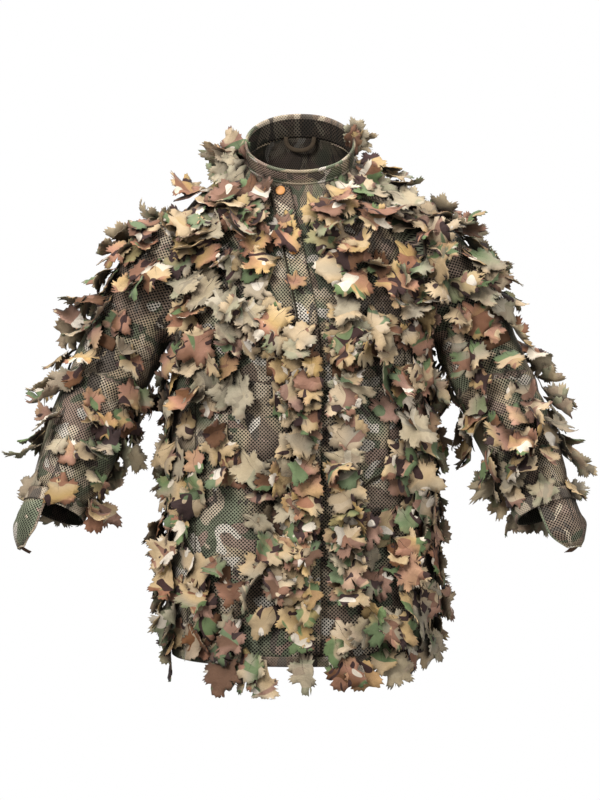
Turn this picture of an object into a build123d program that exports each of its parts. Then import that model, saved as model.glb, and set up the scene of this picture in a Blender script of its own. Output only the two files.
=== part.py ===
from build123d import *
import math
import os

# ---------------------------------------------------------------------------
# Leaf camouflage jacket (ghillie jacket), worn shape, held at the neck.
# Frame: millimetres, +Z up, +X the wearer's left, -Y the front.
# Origin: 30 mm under the centre of the neck seam, on the garment's mid plane.
# The cloth is built of flat facets, so its offsets keep an even distance.
# ---------------------------------------------------------------------------

FABRIC = 2.0            # wall of the mesh cloth shells, doubled cloth included
HEM_Z = -766.0          # lower edge of the body
NECK_TILT = 33.0        # slope of the neck seam, low at the front
NECK_A, NECK_B = 86.0, 78.0   # half width and half length of the neck seam
COLLAR_H = 33.0         # height of the standing collar
ARMHOLE_X = 178.0       # plane of the armhole opening
ARMPIT_Z = -258.0       # bottom of the armhole
SIDE_X = 165.0          # seams between front/back panels and side panels
YOKE_Z = -96.0          # seam between yoke and body panels
SHOULDER = (200.0, 0.0, -105.0)      # axis of the sleeve's swing, along Y
RIM_C = (271.0, 2.0, -236.0)         # centre of the rigid upper sleeve's top rim
ELBOW = (320.0, 0.0, -339.0)
WRIST = (390.0, -85.0, -530.0)
ELBOW_AXIS_FWD = 24.0   # the elbow's fold axis stands this far in front of the sleeve's centre
ELBOW_HALF = 58.0       # half length of the soft elbow section
SLEEVE_R_TOP, SLEEVE_R_ELBOW, SLEEVE_R_WRIST = 67.0, 64.0, 49.0
CUFF_BAND = 20.0
PLACKET_W = 32.0
PLACKET_GAP = 4.2       # room for the closed snap between the two edges
PLACKET_T = 1.5
SNAP_R = 7.5            # snap cap, 15 mm
SNAP_Z_UPPER = (-24.0, -119.0, -214.0)
SNAP_Z_LOWER = (-309.0, -404.0, -499.0, -594.0, -689.0)
LEAF_T = 1.2

# section height, half width, front reach, back reach, squareness
TORSO = [
    (-790.0, 204.0, 150.5, 140.0, 2.35),
    (-700.0, 214.0, 148.1, 139.0, 2.35),
    (-600.0, 219.0, 145.2, 134.0, 2.35),
    (-480.0, 212.0, 141.7, 124.5, 2.35),
    (-350.0, 204.0, 137.9, 121.0, 2.35),
    (-237.0, 205.0, 134.6, 120.0, 2.35),
]
# sections above the chest lean with the neck seam: centre y, centre z, slope, half width, half length
UPPER = [
    (-6.0, -160.0, 8.0, 206.0, 119.0, 2.35),
    (-6.5, -108.0, 16.0, 203.0, 105.0, 2.3),
    (-7.0, -66.0, 22.0, 193.0, 95.0, 2.25),
    (-7.0, -30.0, 27.0, 166.0, 88.0, 2.2),
    (-6.0, 2.0, 31.0, 122.0, 82.5, 2.1),
    (-5.0, 30.0, NECK_TILT, NECK_A, NECK_B, 2.0),
    (-16.0, 47.0, NECK_TILT, NECK_A, NECK_B, 2.0),
]
N_PTS = 36

os.makedirs("parts", exist_ok=True)
out = {}


def V(*p):
    return Vector(*p)


def add(name, *shapes):
    solids = []
    for s in shapes:
        if isinstance(s, (list, tuple, ShapeList)):
            for x in s:
                solids += list(x.solids())
        else:
            solids += list(s.solids())
    solids = [s for s in solids if s.volume > 0.5]
    out[name] = solids


def rad(a):
    return math.radians(a)


def sup(c, s, a, b, n):
    return (
        a * math.copysign(abs(c) ** (2 / n), c),
        b * math.copysign(abs(s) ** (2 / n), s),
    )


def section(cy, cz, tilt, a, b, n):
    """Points of one body section, leaning by tilt so that the front is lower."""
    ct, st = math.cos(rad(tilt)), math.sin(rad(tilt))
    pts = []
    for i in range(N_PTS):
        t = 2 * math.pi * (i + 0.5) / N_PTS
        x, v = sup(math.cos(t), math.sin(t), a, b, n)
        pts.append(V(x, cy + v * ct, cz + v * st))
    return pts


def triangles(grid):
    """Two triangles for each cell of a grid of closed rings."""
    res = []
    n = len(grid[0])
    for i in range(len(grid) - 1):
        for j in range(n):
            k = (j + 1) % n
            a, b, c, d = (i, j), (i, k), (i + 1, k), (i + 1, j)
            res += [(a, b, c), (a, c, d)]
    return res


def tri_face(a, b, c):
    return Face(Wire.make_polygon([a, b, c], close=True))


def solid_of(faces):
    return Solid(Shell(faces))


def ring_solid(outer, inner):
    """Closed tube wall between two grids of rings."""
    faces = []
    for g in (outer, inner):
        for t in triangles(g):
            faces.append(tri_face(*[g[i][j] for i, j in t]))
    n = len(outer[0])
    for o, m in ((outer[0], inner[0]), (outer[-1], inner[-1])):
        for j in range(n):
            k = (j + 1) % n
            faces += [tri_face(o[j], o[k], m[k]), tri_face(o[j], m[k], m[j])]
    return solid_of(faces)


def offset_grid(grid, off):
    """Moves every vertex so that the facets round it move out by off."""
    if off == 0:
        return grid
    n = len(grid[0])
    acc = {}
    mid = [sum((p for p in g), V(0, 0, 0)) * (1 / n) for g in grid]
    for t in triangles(grid):
        a, b, c = (grid[i][j] for i, j in t)
        nn = (b - a).cross(c - a)
        if nn.length < 1e-9:
            continue
        nn = nn.normalized()
        if nn.dot((a + b + c) * (1 / 3) - mid[t[0][0]]) < 0:
            nn = nn * -1
        for key in t:
            acc.setdefault(key, []).append(nn)
    res = []
    for i in range(len(grid)):
        row = []
        for j in range(n):
            ns = acc[(i, j)]
            m = sum(ns, V(0, 0, 0)).normalized()
            cosm = sum(m.dot(q) for q in ns) / len(ns)
            row.append(grid[i][j] + m * (off / max(cosm, 0.6)))
        res.append(row)
    return res


BASE_GRID = [section((bk - f) / 2, z, 0, a, (f + bk) / 2, n) for z, a, f, bk, n in TORSO]
BASE_GRID += [section(*u) for u in UPPER]


def layer(o0, o1):
    """Closed wall between two standoffs from the cloth's outer face."""
    return ring_solid(offset_grid(BASE_GRID, o1), offset_grid(BASE_GRID, o0))


_layers = {}


def get_layer(o0, o1):
    if (o0, o1) not in _layers:
        _layers[(o0, o1)] = layer(o0, o1)
    return _layers[(o0, o1)]


def box(x0, x1, y0, y1, z0, z1):
    return Pos((x0 + x1) / 2, (y0 + y1) / 2, (z0 + z1) / 2) * Box(x1 - x0, y1 - y0, z1 - z0)


def prism(poly, y0, y1):
    """Polygon in X and Z, extruded from y0 to y1."""
    pts = [V(x, y0, z) for x, z in poly]
    w = Wire.make_polygon(pts, close=True)
    return Solid.extrude(Face(w), V(0, y1 - y0, 0))


def patch(poly, o0, o1, front=True):
    """Sheet that follows the body surface between two standoffs, cut to a polygon."""
    y0, y1 = (-260, -20) if front else (20, 260)
    return get_layer(o0, o1) & prism(poly, y0, y1)


def frame_of(normal, hint=(0, 0, -1)):
    n = V(*normal).normalized()
    h = V(*hint)
    d = h - n * h.dot(n)
    if d.length < 1e-3:
        d = V(1, 0, 0) - n * n.X
    d = d.normalized()
    return n, d, n.cross(d)


# front opening: slants from the collar to the chest, then runs straight down
def placket_x(z):
    """X of the placket's centre at height z."""
    if z > -214:
        return -30.0 + (z + 24.0) / (-190.0) * 40.0
    return 10.0 + min(1.0, (-214.0 - z) / 60.0) * 6.0


# ---------------------------------------------------------------- body shell
tt = rad(NECK_TILT)
nc = V(0, -math.sin(tt), math.cos(tt))      # the collar rises along this
tc = V(0, math.cos(tt), math.sin(tt))       # towards the back, in the neck seam's plane
c0 = V(0, -5.0, 30.0)                       # centre of the neck seam
neck_cut = extrude(Plane(origin=c0, x_dir=(1, 0, 0), z_dir=nc) * Rectangle(900, 900), 300)

shell = get_layer(-FABRIC, 0.0)
shell = shell - neck_cut
shell = shell & box(-400, 400, -300, 300, HEM_Z, 200)
for s in (1, -1):
    hole = [(ARMHOLE_X, ARMPIT_Z), (196, ARMPIT_Z), (215, ARMPIT_Z - 14), (400, ARMPIT_Z - 14), (400, 100), (ARMHOLE_X, 100)]
    shell = shell - prism([(x * s, z) for x, z in hole], -200, 200)

slit_line = [(placket_x(20) - 14, 20), (placket_x(-214) - 14, -214), (placket_x(-280) - 14, -280), (placket_x(-780) - 14, -780)]
slit = slit_line + [(x + 0.8, z) for x, z in reversed(slit_line)]
shell = shell - prism(slit, -260, -20)

big = 500
yoke = shell & box(-big, big, -big, big, YOKE_Z, big)
lower = shell & box(-big, big, -big, big, -big * 2, YOKE_Z)
side_l = lower & box(SIDE_X, big, -big, big, -big * 2, big)
side_r = lower & box(-big, -SIDE_X, -big, big, -big * 2, big)
mid = lower & box(-SIDE_X, SIDE_X, -big, big, -big * 2, big)
front = mid & box(-big, big, -big, 0, -big * 2, big)
back = mid & box(-big, big, 0, big, -big * 2, big)

fl = [s for s in front.solids() if s.center().X > 5]
fr = [s for s in front.solids() if s.center().X <= 5]
add("front_panel_left", fl)
add("front_panel_right", fr)
add("back_panel", back)
add("side_panel_left", side_l)
add("side_panel_right", side_r)
yk = yoke.solids()
yb = yoke & box(-big, big, 0, big, -big, big)
yf = yoke & box(-big, big, -big, 0, -big, big)
add("shoulder_yoke_back", yb)
add("shoulder_yoke_front_left", [s for s in yf.solids() if s.center().X > 0])
add("shoulder_yoke_front_right", [s for s in yf.solids() if s.center().X <= 0])

# ---------------------------------------------------------------- collar
def collar_ring(h0, h1, off_out, off_in, flare=2.0):
    def ring(h, off):
        a = NECK_A + off + flare * h / COLLAR_H
        b = NECK_B + off + flare * h / COLLAR_H
        pts = []
        for i in range(N_PTS):
            t = 2 * math.pi * (i + 0.5) / N_PTS
            pts.append(c0 + V(1, 0, 0) * (a * math.cos(t)) + tc * (b * math.sin(t)) + nc * h)
        return pts

    return ring_solid([ring(h0, off_out), ring(h1, off_out)], [ring(h0, off_in), ring(h1, off_in)])


collar_slit = prism([(-12.0, -60), (-12.0, 60), (-11.0, 60), (-11.0, -60)], -260, -20)
collar = collar_ring(0.1, COLLAR_H, 0.0, -FABRIC) - collar_slit
add("collar_stand", collar)
lining = collar_ring(2.0, COLLAR_H - 3, -FABRIC - 0.15, -FABRIC - 1.15) - collar_slit
add("collar_lining", lining)
bind = collar_ring(COLLAR_H + 0.1, COLLAR_H + 3.1, 0.8, -FABRIC - 1.4) - collar_slit
add("collar_edge_binding", bind)
seam = collar_ring(0.6, 4.6, 1.3, 0.2) - collar_slit
seam = seam - prism([(-52, -60), (-52, 60), (-4, 60), (-4, -60)], -260, -20)
add("neck_seam_tape", seam)

# ---------------------------------------------------------------- hem
hem = get_layer(0.15, 1.4) & box(-big, big, -big, big, HEM_Z, HEM_Z + 15)
add("hem_binding", hem)

# ---------------------------------------------------------------- front closure


def band(zs, w0, w1):
    left = [(placket_x(z) + w0, z) for z in zs]
    right = [(placket_x(z) + w1, z) for z in reversed(zs)]
    return left + right


zu = [-17.0, -120.0, -214.0, -236.0]
zl = [-240.0, -274.0, -500.0, HEM_Z + 18]
H = PLACKET_W / 2
for tag, zs in (("upper", zu), ("lower", zl)):
    add(f"under_placket_{tag}", patch(band(zs, -H - 2, H + 1), 0.15, 1.15))
    add(f"placket_fold_{tag}", patch(band(zs, H - 5, H), 1.4, PLACKET_GAP - 0.35))
    add(f"placket_{tag}", patch(band(zs, -H, H), PLACKET_GAP, PLACKET_GAP + PLACKET_T))

BASE_TRIS = [[BASE_GRID[i][j] for i, j in t] for t in triangles(BASE_GRID)]


def ray(tris, o, d):
    """Points where a ray meets the triangles, with the facets' normals facing along the ray."""
    res = []
    for a, b, c in tris:
        e1, e2 = b - a, c - a
        h = d.cross(e2)
        det = e1.dot(h)
        if abs(det) < 1e-9:
            continue
        s = o - a
        u = s.dot(h) / det
        if u < -1e-6 or u > 1 + 1e-6:
            continue
        q = s.cross(e1)
        w = d.dot(q) / det
        if w < -1e-6 or u + w > 1 + 1e-6:
            continue
        t = e2.dot(q) / det
        if t > 0:
            n = e1.cross(e2).normalized()
            if n.dot(d) < 0:
                n = n * -1
            res.append((t, o + d * t, n))
    res.sort(key=lambda r: r[0])
    return [(p, n) for t, p, n in res]


def surface_at(x, z, front=True):
    """Point and outward normal on the cloth, found along Y."""
    y = -6.0
    hits = ray(BASE_TRIS, V(x, y, z), V(0, -1 if front else 1, 0))
    return hits[-1] if hits else None


def ring_profile(p, n, pts):
    """Solid of revolution: pts are (radius, height) pairs, height along n from p."""
    pl = Plane(origin=p, x_dir=frame_of((n.X, n.Y, n.Z))[1], z_dir=n)
    # profile is drawn in the plane's X (radius) and Z (height)
    prof = Plane(origin=p, x_dir=pl.x_dir, z_dir=pl.y_dir * -1)
    w = Wire.make_polygon([p + pl.x_dir * r + n * h for r, h in pts], close=True)
    return Solid.revolve(Face(w), 360, Axis(p, n))


def snap_set(z):
    x = placket_x(z)
    p, n = surface_at(x, z)
    top = PLACKET_GAP + PLACKET_T
    cap = ring_profile(p, n, [(0, top + 0.06), (SNAP_R, top + 0.06), (SNAP_R, top + 0.7), (SNAP_R - 0.8, top + 1.25), (4.2, top + 1.7), (0, top + 1.85)])
    socket = ring_profile(p, n, [(4.6, 2.25), (6.6, 2.25), (6.6, 3.3), (4.6, 3.3)])
    stud = ring_profile(p, n, [(0, 1.32), (6.4, 1.32), (6.4, 1.9), (3.2, 1.95), (3.2, 2.4), (3.7, 2.7), (3.4, 3.15), (0, 3.15)])
    pb = p - n * (FABRIC + 0.6)
    post = ring_profile(pb, n * -1, [(2.0, 0.25), (6.0, 0.25), (6.0, 0.85), (2.0, 0.85)])
    return cap, socket, stud, post


caps_u, caps_l, studs, posts = [], [], [], []
sock_u, sock_l = [], []
for z in SNAP_Z_UPPER:
    c, k, s, q = snap_set(z)
    caps_u.append(c); sock_u.append(k); studs.append(s); posts.append(q)
for z in SNAP_Z_LOWER:
    c, k, s, q = snap_set(z)
    caps_l.append(c); sock_l.append(k); studs.append(s); posts.append(q)
add("snap_caps_upper", caps_u)
add("snap_sockets_upper", sock_u)
add("snap_caps_lower", caps_l)
add("snap_sockets_lower", sock_l)
add("snap_studs", studs, posts)

# ---------------------------------------------------------------- tapes and pockets on the chest
add(
    "chest_tapes",
    patch([(-52, -287), (-10, -292), (-10, -318), (-52, -313)], 1.3, 2.4),
    patch([(50, -290), (96, -292), (96, -318), (50, -316)], 1.3, 2.4),
)
tan = [
    patch([(-42, -130), (-34, -128), (-58, -196), (-66, -193)], 0.2, 1.2),
    patch([(40, -126), (49, -129), (72, -196), (62, -193)], 0.2, 1.2),
    patch([(120, -560), (142, -556), (142, -580), (120, -584)], 0.2, 1.2),
]
add("foliage_loops_tan", tan)
brown = [
    patch([(-82, -224), (-71, -222), (-80, -266), (-91, -264)], 0.2, 1.2),
    patch([(97, -222), (108, -224), (114, -262), (103, -264)], 0.2, 1.2),
    patch([(-126, -610), (-108, -612), (-108, -650), (-126, -648)], 0.2, 1.2),
]
add("foliage_loops_brown", brown)
pk_r = patch([(-112, -312), (-62, -330), (-20, -332), (-20, -528), (-78, -484), (-112, -470)], 0.2, 1.1)
pk_l = patch([(140, -330), (100, -330), (52, -332), (52, -528), (112, -476), (140, -462)], 0.2, 1.1)
add("pocket_panel_right", pk_r)
add("pocket_panel_left", pk_l)
add(
    "pocket_welts",
    patch([(-122, -294), (-60, -272.5), (-60, -278.5), (-122, -300)], 0.2, 2.0),
    patch([(100, -270), (146, -304), (146, -310), (100, -276)], 0.2, 2.0),
)


# ---------------------------------------------------------------- sleeves
def ellipse_ring(c, ny, nn, ry, rn):
    """Points of an ellipse about c: ry along ny, rn along nn."""
    res = []
    for i in range(24):
        t = 2 * math.pi * (i + 0.5) / 24
        res.append(c + ny * (ry * math.cos(t)) + nn * (rn * math.sin(t)))
    return res


def tube(stations, wall=FABRIC):
    """stations: list of (centre, axis1, axis2, r1, r2), each a plane section."""
    outer = [ellipse_ring(*s) for s in stations]
    inner = [ellipse_ring(c, a, b, r1 - wall, r2 - wall) for c, a, b, r1, r2 in stations]
    return ring_solid(outer, inner)


def mir(p, s):
    return V(p[0] * s, p[1], p[2])


def lerp(a, b, t):
    return a + (b - a) * t


SLEEVE = {}
for side, s in (("left", 1), ("right", -1)):
    S, C1, E, W = (mir(p, s) for p in (SHOULDER, RIM_C, ELBOW, WRIST))
    Yax = V(0, 1, 0)
    d1 = (E - C1).normalized()
    n1 = Yax.cross(d1).normalized()
    if n1.X * s < 0:
        n1 = n1 * -1
    y1 = d1.cross(n1).normalized()
    d2 = (W - E).normalized()
    n2 = (n1 - d2 * n1.dot(d2)).normalized()
    y2 = d2.cross(n2).normalized()
    if y1.Y < 0:
        y1 = y1 * -1
    if y2.Y < 0:
        y2 = y2 * -1
    L1, L2 = (E - C1).length, (W - E).length
    SLEEVE[side] = dict(S=S, C1=C1, E=E, W=W, d1=d1, n1=n1, y1=y1, d2=d2, n2=n2, y2=y2, L1=L1, L2=L2)

    # soft sleeve head from the armhole to the rim
    def head_station(T, B, ry, cy):
        T, B = V(T[0] * s, 0, T[1]), V(B[0] * s, 0, B[1])
        c = (T + B) * 0.5 + V(0, cy, 0)
        return (c, Yax, (T - B).normalized(), ry, (T - B).length / 2)

    stations = [
        head_station((ARMHOLE_X + 0.4, -50), (ARMHOLE_X + 0.4, ARMPIT_Z + 1), 72, -3),
        head_station((233, -68), (189, ARMPIT_Z + 1.5), 77, -1),
        head_station((288, -125), (199, ARMPIT_Z + 1.5), 74, 0),
    ]
    rim = C1 - d1 * 0.4
    stations.append((rim, y1, n1, SLEEVE_R_TOP, SLEEVE_R_TOP))
    add(f"sleeve_head_{side}", tube(stations))

    # upper sleeve, soft elbow, forearm
    ea = E - d1 * ELBOW_HALF
    eb = E + d2 * ELBOW_HALF
    add(f"upper_sleeve_{side}", tube([
        (C1, y1, n1, SLEEVE_R_TOP, SLEEVE_R_TOP),
        (lerp(C1, ea, 0.5), y1, n1, 66, 66),
        (ea, y1, n1, 65.5, 65.5),
    ]))
    nm = (n1 + n2).normalized()
    dm = (d1 + d2).normalized()
    nm = (nm - dm * nm.dot(dm)).normalized()
    ym = dm.cross(nm)
    if ym.Y < 0:
        ym = ym * -1
    add(f"elbow_{side}", tube([
        (ea + d1 * 0.4, y1, n1, 65.5, 65.5),
        (E, ym, nm, SLEEVE_R_ELBOW, SLEEVE_R_ELBOW),
        (eb - d2 * 0.4, y2, n2, 62.5, 62.5),
    ]))
    cw = W - d2 * CUFF_BAND
    add(f"forearm_sleeve_{side}", tube([
        (eb, y2, n2, 62.5, 62.5),
        (lerp(eb, cw, 0.5), y2, n2, 59, 59),
        (cw, y2, n2, SLEEVE_R_WRIST + 1, SLEEVE_R_WRIST + 1),
    ]))
    add(f"cuff_band_{side}", tube([
        (cw + d2 * 0.1, y2, n2, SLEEVE_R_WRIST + 1.2, SLEEVE_R_WRIST + 1.2),
        (lerp(cw, W, 0.5), y2, n2, SLEEVE_R_WRIST, SLEEVE_R_WRIST),
        (W, y2, n2, SLEEVE_R_WRIST + 0.6, SLEEVE_R_WRIST + 0.6),
    ]))

# ---------------------------------------------------------------- hand covers
HAND_L = 72.0
HAND_HALF = 62.0      # half of the arc the cover takes round the wrist, degrees
HAND = {}
for side, s in (("left", 1), ("right", -1)):
    k = SLEEVE[side]
    W, d2, n2, y2 = k["W"], k["d2"], k["n2"], k["y2"]
    # direction in which the cover stands on the wrist, in the wrist's plane
    ang = rad(40.0) if s > 0 else rad(8.0)      # from outward towards the front
    out_dir = (n2 * math.cos(ang) - y2 * math.sin(ang)).normalized()
    tan_dir = d2.cross(out_dir).normalized()
    r = SLEEVE_R_WRIST
    base = W + d2 * 0.5

    def arc_pts(h, off, half, r0, sag):
        pts = []
        for i in range(11):
            t = -half + 2 * half * i / 10
            a = rad(t)
            hh = h - sag * (t / HAND_HALF) ** 2
            pts.append(base + d2 * hh + out_dir * ((r0 + off) * math.cos(a)) + tan_dir * ((r0 + off) * math.sin(a)))
        return pts

    rows_h = [(0.0, HAND_HALF, r, 0.0), (24.0, HAND_HALF, r + 1, 0.0), (50.0, 52.0, r + 1, 2.0), (HAND_L, 30.0, r - 3, 6.0)]
    # closed rings round the sheet's cross-section, capped at both ends
    rings = [arc_pts(h, 0.0, hf, rr, sg) + list(reversed(arc_pts(h, -1.8, hf, rr, sg))) for h, hf, rr, sg in rows_h]
    faces = [tri_face(*[rings[i][j] for i, j in t]) for t in triangles(rings)]
    for g in (rings[0], rings[-1]):
        m = len(g)
        for j in range(m // 2 - 1):
            faces += [tri_face(g[j], g[j + 1], g[m - 2 - j]), tri_face(g[j], g[m - 2 - j], g[m - 1 - j])]
    add(f"hand_cover_{side}", solid_of(faces))
    # short webbing tab at the tip, standing in line with the cover
    tip = base + d2 * (HAND_L + 0.4) + out_dir * (r - 5)
    pl = Plane(origin=tip, x_dir=tan_dir, z_dir=d2)
    tab = extrude(pl * Rectangle(22, 1.6), 24)
    add(f"finger_tab_{side}", tab)
    HAND[side] = dict(axis_p=base + out_dir * (r + 0.3), axis=tan_dir, out=out_dir)

# ---------------------------------------------------------------- hang loop inside the back of the collar
loop_c = c0 + tc * (NECK_B - FABRIC - 1.15 - 7.5) + nc * 7.0
lx, lw, lt = 27.0, 8.0, 1.2
lp = Plane(origin=loop_c, x_dir=V(1, 0, 0), z_dir=V(0, 1, 0))
hl = box(-lx, lx, -lt / 2, lt / 2, -26, 0) - box(-lx + lw, lx - lw, -5, 5, -18, 1) 
loop = [s.moved(Location(loop_c)) for s in hl.solids()]
add("hang_loop", loop)

# ---------------------------------------------------------------- leaves
LEAF = [(-5, 0), (5, 0), (9, 12), (24, 9), (19, 25), (30, 38), (17, 46), (14, 60), (0, 74), (-15, 60), (-18, 46), (-29, 38), (-19, 26), (-24, 10), (-9, 13)]


def leaf(p, n, down, tilt, scale=1.0, lift=0.3, roll=0.0):
    """Thin leaf: root at p, blade along down, standing off the cloth by tilt degrees."""
    n = n.normalized()
    d = (down - n * down.dot(n)).normalized()
    sidev = n.cross(d)
    a = rad(roll)
    d = (d * math.cos(a) + sidev * math.sin(a)).normalized()
    sidev = n.cross(d)
    t = rad(tilt)
    blade = d * math.cos(t) + n * math.sin(t)
    up = n * math.cos(t) - d * math.sin(t)
    o = p + n * lift
    pts = [o + sidev * (x * scale) + blade * (y * scale) for x, y in LEAF]
    return Solid.extrude(Face(Wire.make_polygon(pts, close=True)), up * LEAF_T)


def leaves_on(points, down=V(0, 0, -1), tilt=18, scale=1.0, lift=0.3):
    res = []
    for i, (x, z, fr) in enumerate(points):
        hit = surface_at(x, z, fr)
        if hit is None:
            continue
        p, n = hit
        res.append(leaf(p, n, down, tilt, scale * (0.92 + 0.08 * ((i * 37) % 3) / 2), lift))
    return res


# chest and belly, outside the placket band
rows = [-140, -222, -304, -386, -468, -550, -632, -706]
fl_pts, fr_pts, bk_pts = [], [], []
for r, z in enumerate(rows):
    for x in (78, 142):
        fl_pts.append((x + (6 if r % 2 else 0), z, True))
    for x in (-62, -126):
        fr_pts.append((x - (6 if r % 2 else 0), z, True))
    for x in (-132, -66, 0, 66, 132):
        bk_pts.append((x, z - (14 if abs(x) == 66 else 0), False))
add("leaves_front_left", leaves_on(fl_pts, scale=0.95, lift=2.6))
add("leaves_front_right", leaves_on(fr_pts, scale=0.95, lift=2.6))
add("leaves_back", leaves_on(bk_pts, scale=0.95))

# sides, below the armpit
sides = {"left": [], "right": []}
for side, s in (("left", 1), ("right", -1)):
    for r, z in enumerate([-392, -474, -556, -638, -712]):
        for yy in (-46, 20):
            hits = ray(BASE_TRIS, V(0, yy, z), V(s, 0, 0))
            if hits:
                p, n = hits[0]
                sides[side].append(leaf(p, n, V(0, 0, -1), 20, 0.9, 0.3))
    add(f"leaves_side_{side}", sides[side])

# yoke: on the slopes of both shoulders, away from the collar
yk_leaves = []
for s in (1, -1):
    for x, z, fr in ((78, -62, True), (146, -88, True), (74, 2, False), (140, -28, False)):
        hit = surface_at(x * s, z, fr)
        if hit:
            p, n = hit
            yk_leaves.append(leaf(p, n, V(0.35 * s, 0, -1), 14, 0.62, 0.5))
add("leaves_yoke", yk_leaves)

# leaves stitched along the placket
pu, plw = [], []
for z in (-56, -152):
    p, n = surface_at(placket_x(z) - 2, z)
    pu.append(leaf(p, n, V(0.1, 0, -1), 16, 0.5, PLACKET_GAP + PLACKET_T + 0.5))
for z in (-334, -429, -524, -619):
    p, n = surface_at(placket_x(z) - 2, z)
    plw.append(leaf(p, n, V(0, 0, -1), 16, 0.5, PLACKET_GAP + PLACKET_T + 0.5))
add("leaves_placket_upper", pu)
add("leaves_placket_lower", plw)

# sleeves
for side, s in (("left", 1), ("right", -1)):
    k = SLEEVE[side]
    res = []
    for j, a in enumerate((-45, 0, 45, 90)):
        dr = k["n1"] * math.cos(rad(a)) + k["y1"] * math.sin(rad(a))
        p = k["C1"] + k["d1"] * 6 + dr * (SLEEVE_R_TOP + 0.2)
        res.append(leaf(p, dr, k["d1"], 14, 0.78, 0.4))
    add(f"leaves_upper_sleeve_{side}", res)
    res = []
    for row, (h, rr) in enumerate(((10, 62.5), (76, 59.5))):
        for j in range(6):
            a = -150 + 60 * j + (30 if row else 0)
            dr = k["n2"] * math.cos(rad(a)) + k["y2"] * math.sin(rad(a))
            p = k["E"] + k["d2"] * (ELBOW_HALF + h) + dr * (rr + 0.8)
            res.append(leaf(p, dr, k["d2"], 12, 0.86 if row == 0 else 0.72, 0.4))
    add(f"leaves_forearm_{side}", res)

# brown tapes on the sleeves
for side, s in (("left", 1), ("right", -1)):
    k = SLEEVE[side]
    a = rad(-62)
    dr = (k["n1"] * math.cos(a) + k["y1"] * math.sin(a)).normalized()
    tg = k["d1"].cross(dr).normalized()
    p = k["E"] + dr * (SLEEVE_R_ELBOW + 2.0) - k["d1"] * (ELBOW_HALF + 16)
    pl = Plane(origin=p + dr * 1.3, x_dir=tg, z_dir=dr)
    add(f"sleeve_tape_{side}", extrude(pl * Rectangle(36, 20), 1.2))

# ---------------------------------------------------------------- write
for name, solids in out.items():
    shape = solids[0] if len(solids) == 1 else Compound(children=solids)
    export_step(shape, f"parts/{name}.step")
    print(name, len(solids), round(sum(s.volume for s in solids)))

k = SLEEVE["left"]
print("C1", k["C1"], "d1", k["d1"], "n1", k["n1"], "d2", k["d2"], "n2", k["n2"], "L1", k["L1"], "L2", k["L2"])
for side in HAND:
    h = HAND[side]
    print("hand", side, h["axis_p"], h["axis"], h["out"])
for z in (-17, -119, -214, -236, -240, -309, -500, -689, -748):
    print("front", z, surface_at(placket_x(z), z)[0], "hinge", surface_at(placket_x(z) + H, z))
print("loop", loop_c)
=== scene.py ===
import bpy
import bmesh
import math
import numpy as np
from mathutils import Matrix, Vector
from mathutils.bvhtree import BVHTree
from mathutils.geometry import delaunay_2d_cdt


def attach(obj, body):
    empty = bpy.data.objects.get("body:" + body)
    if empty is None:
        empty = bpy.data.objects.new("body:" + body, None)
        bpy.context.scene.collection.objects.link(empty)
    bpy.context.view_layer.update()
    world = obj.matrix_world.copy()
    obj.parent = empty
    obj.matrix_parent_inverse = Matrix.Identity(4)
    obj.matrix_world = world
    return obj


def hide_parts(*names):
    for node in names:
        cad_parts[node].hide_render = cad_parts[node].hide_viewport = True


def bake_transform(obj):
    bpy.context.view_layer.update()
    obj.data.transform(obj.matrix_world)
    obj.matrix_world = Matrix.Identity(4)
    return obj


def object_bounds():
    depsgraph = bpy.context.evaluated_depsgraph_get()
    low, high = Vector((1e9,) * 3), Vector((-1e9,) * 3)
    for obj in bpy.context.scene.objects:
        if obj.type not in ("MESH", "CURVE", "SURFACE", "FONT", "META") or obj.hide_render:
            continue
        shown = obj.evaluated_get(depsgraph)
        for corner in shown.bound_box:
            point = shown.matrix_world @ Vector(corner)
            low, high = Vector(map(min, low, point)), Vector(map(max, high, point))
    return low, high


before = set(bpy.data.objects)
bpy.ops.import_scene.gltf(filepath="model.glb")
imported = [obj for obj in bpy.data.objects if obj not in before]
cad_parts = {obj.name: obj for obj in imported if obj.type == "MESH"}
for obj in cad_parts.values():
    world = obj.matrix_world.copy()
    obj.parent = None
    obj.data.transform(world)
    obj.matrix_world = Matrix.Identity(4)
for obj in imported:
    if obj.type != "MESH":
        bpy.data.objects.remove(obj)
CAD_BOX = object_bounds()
RNG = np.random.default_rng(20417)
MM = 0.001

# ------------------------------------------------------------------ the jacket's shape, as in the CAD, in mm
HEM_Z = -766.0
NECK_TILT = math.radians(33.0)
NECK_A, NECK_B, COLLAR_H = 86.0, 78.0, 33.0
C0 = np.array([0.0, -5.0, 30.0])
NC = np.array([0.0, -math.sin(NECK_TILT), math.cos(NECK_TILT)])
TC = np.array([0.0, math.cos(NECK_TILT), math.sin(NECK_TILT)])
TORSO = [(-800, 204, 150.6, 140, 2.35), (-700, 214, 148.1, 139, 2.35), (-600, 219, 145.2, 134, 2.35), (-480, 212, 141.7, 124.5, 2.35), (-350, 204, 137.9, 121, 2.35), (-237, 205, 134.6, 120, 2.35)]
UPPER = [(-6, -160, 8, 206, 119, 2.35), (-6.5, -108, 16, 203, 105, 2.3), (-7, -66, 22, 193, 95, 2.25), (-7, -30, 27, 166, 88, 2.2), (-6, 2, 31, 122, 82.5, 2.1), (-5, 30, 33, 86, 78, 2.0), (-19, 51.5, 33, 86, 78, 2.0)]
ROWS = [((bk - f) / 2, z, 0.0, a, (f + bk) / 2, n) for z, a, f, bk, n in TORSO] + UPPER
ROWS = np.array(ROWS, float)


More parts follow.
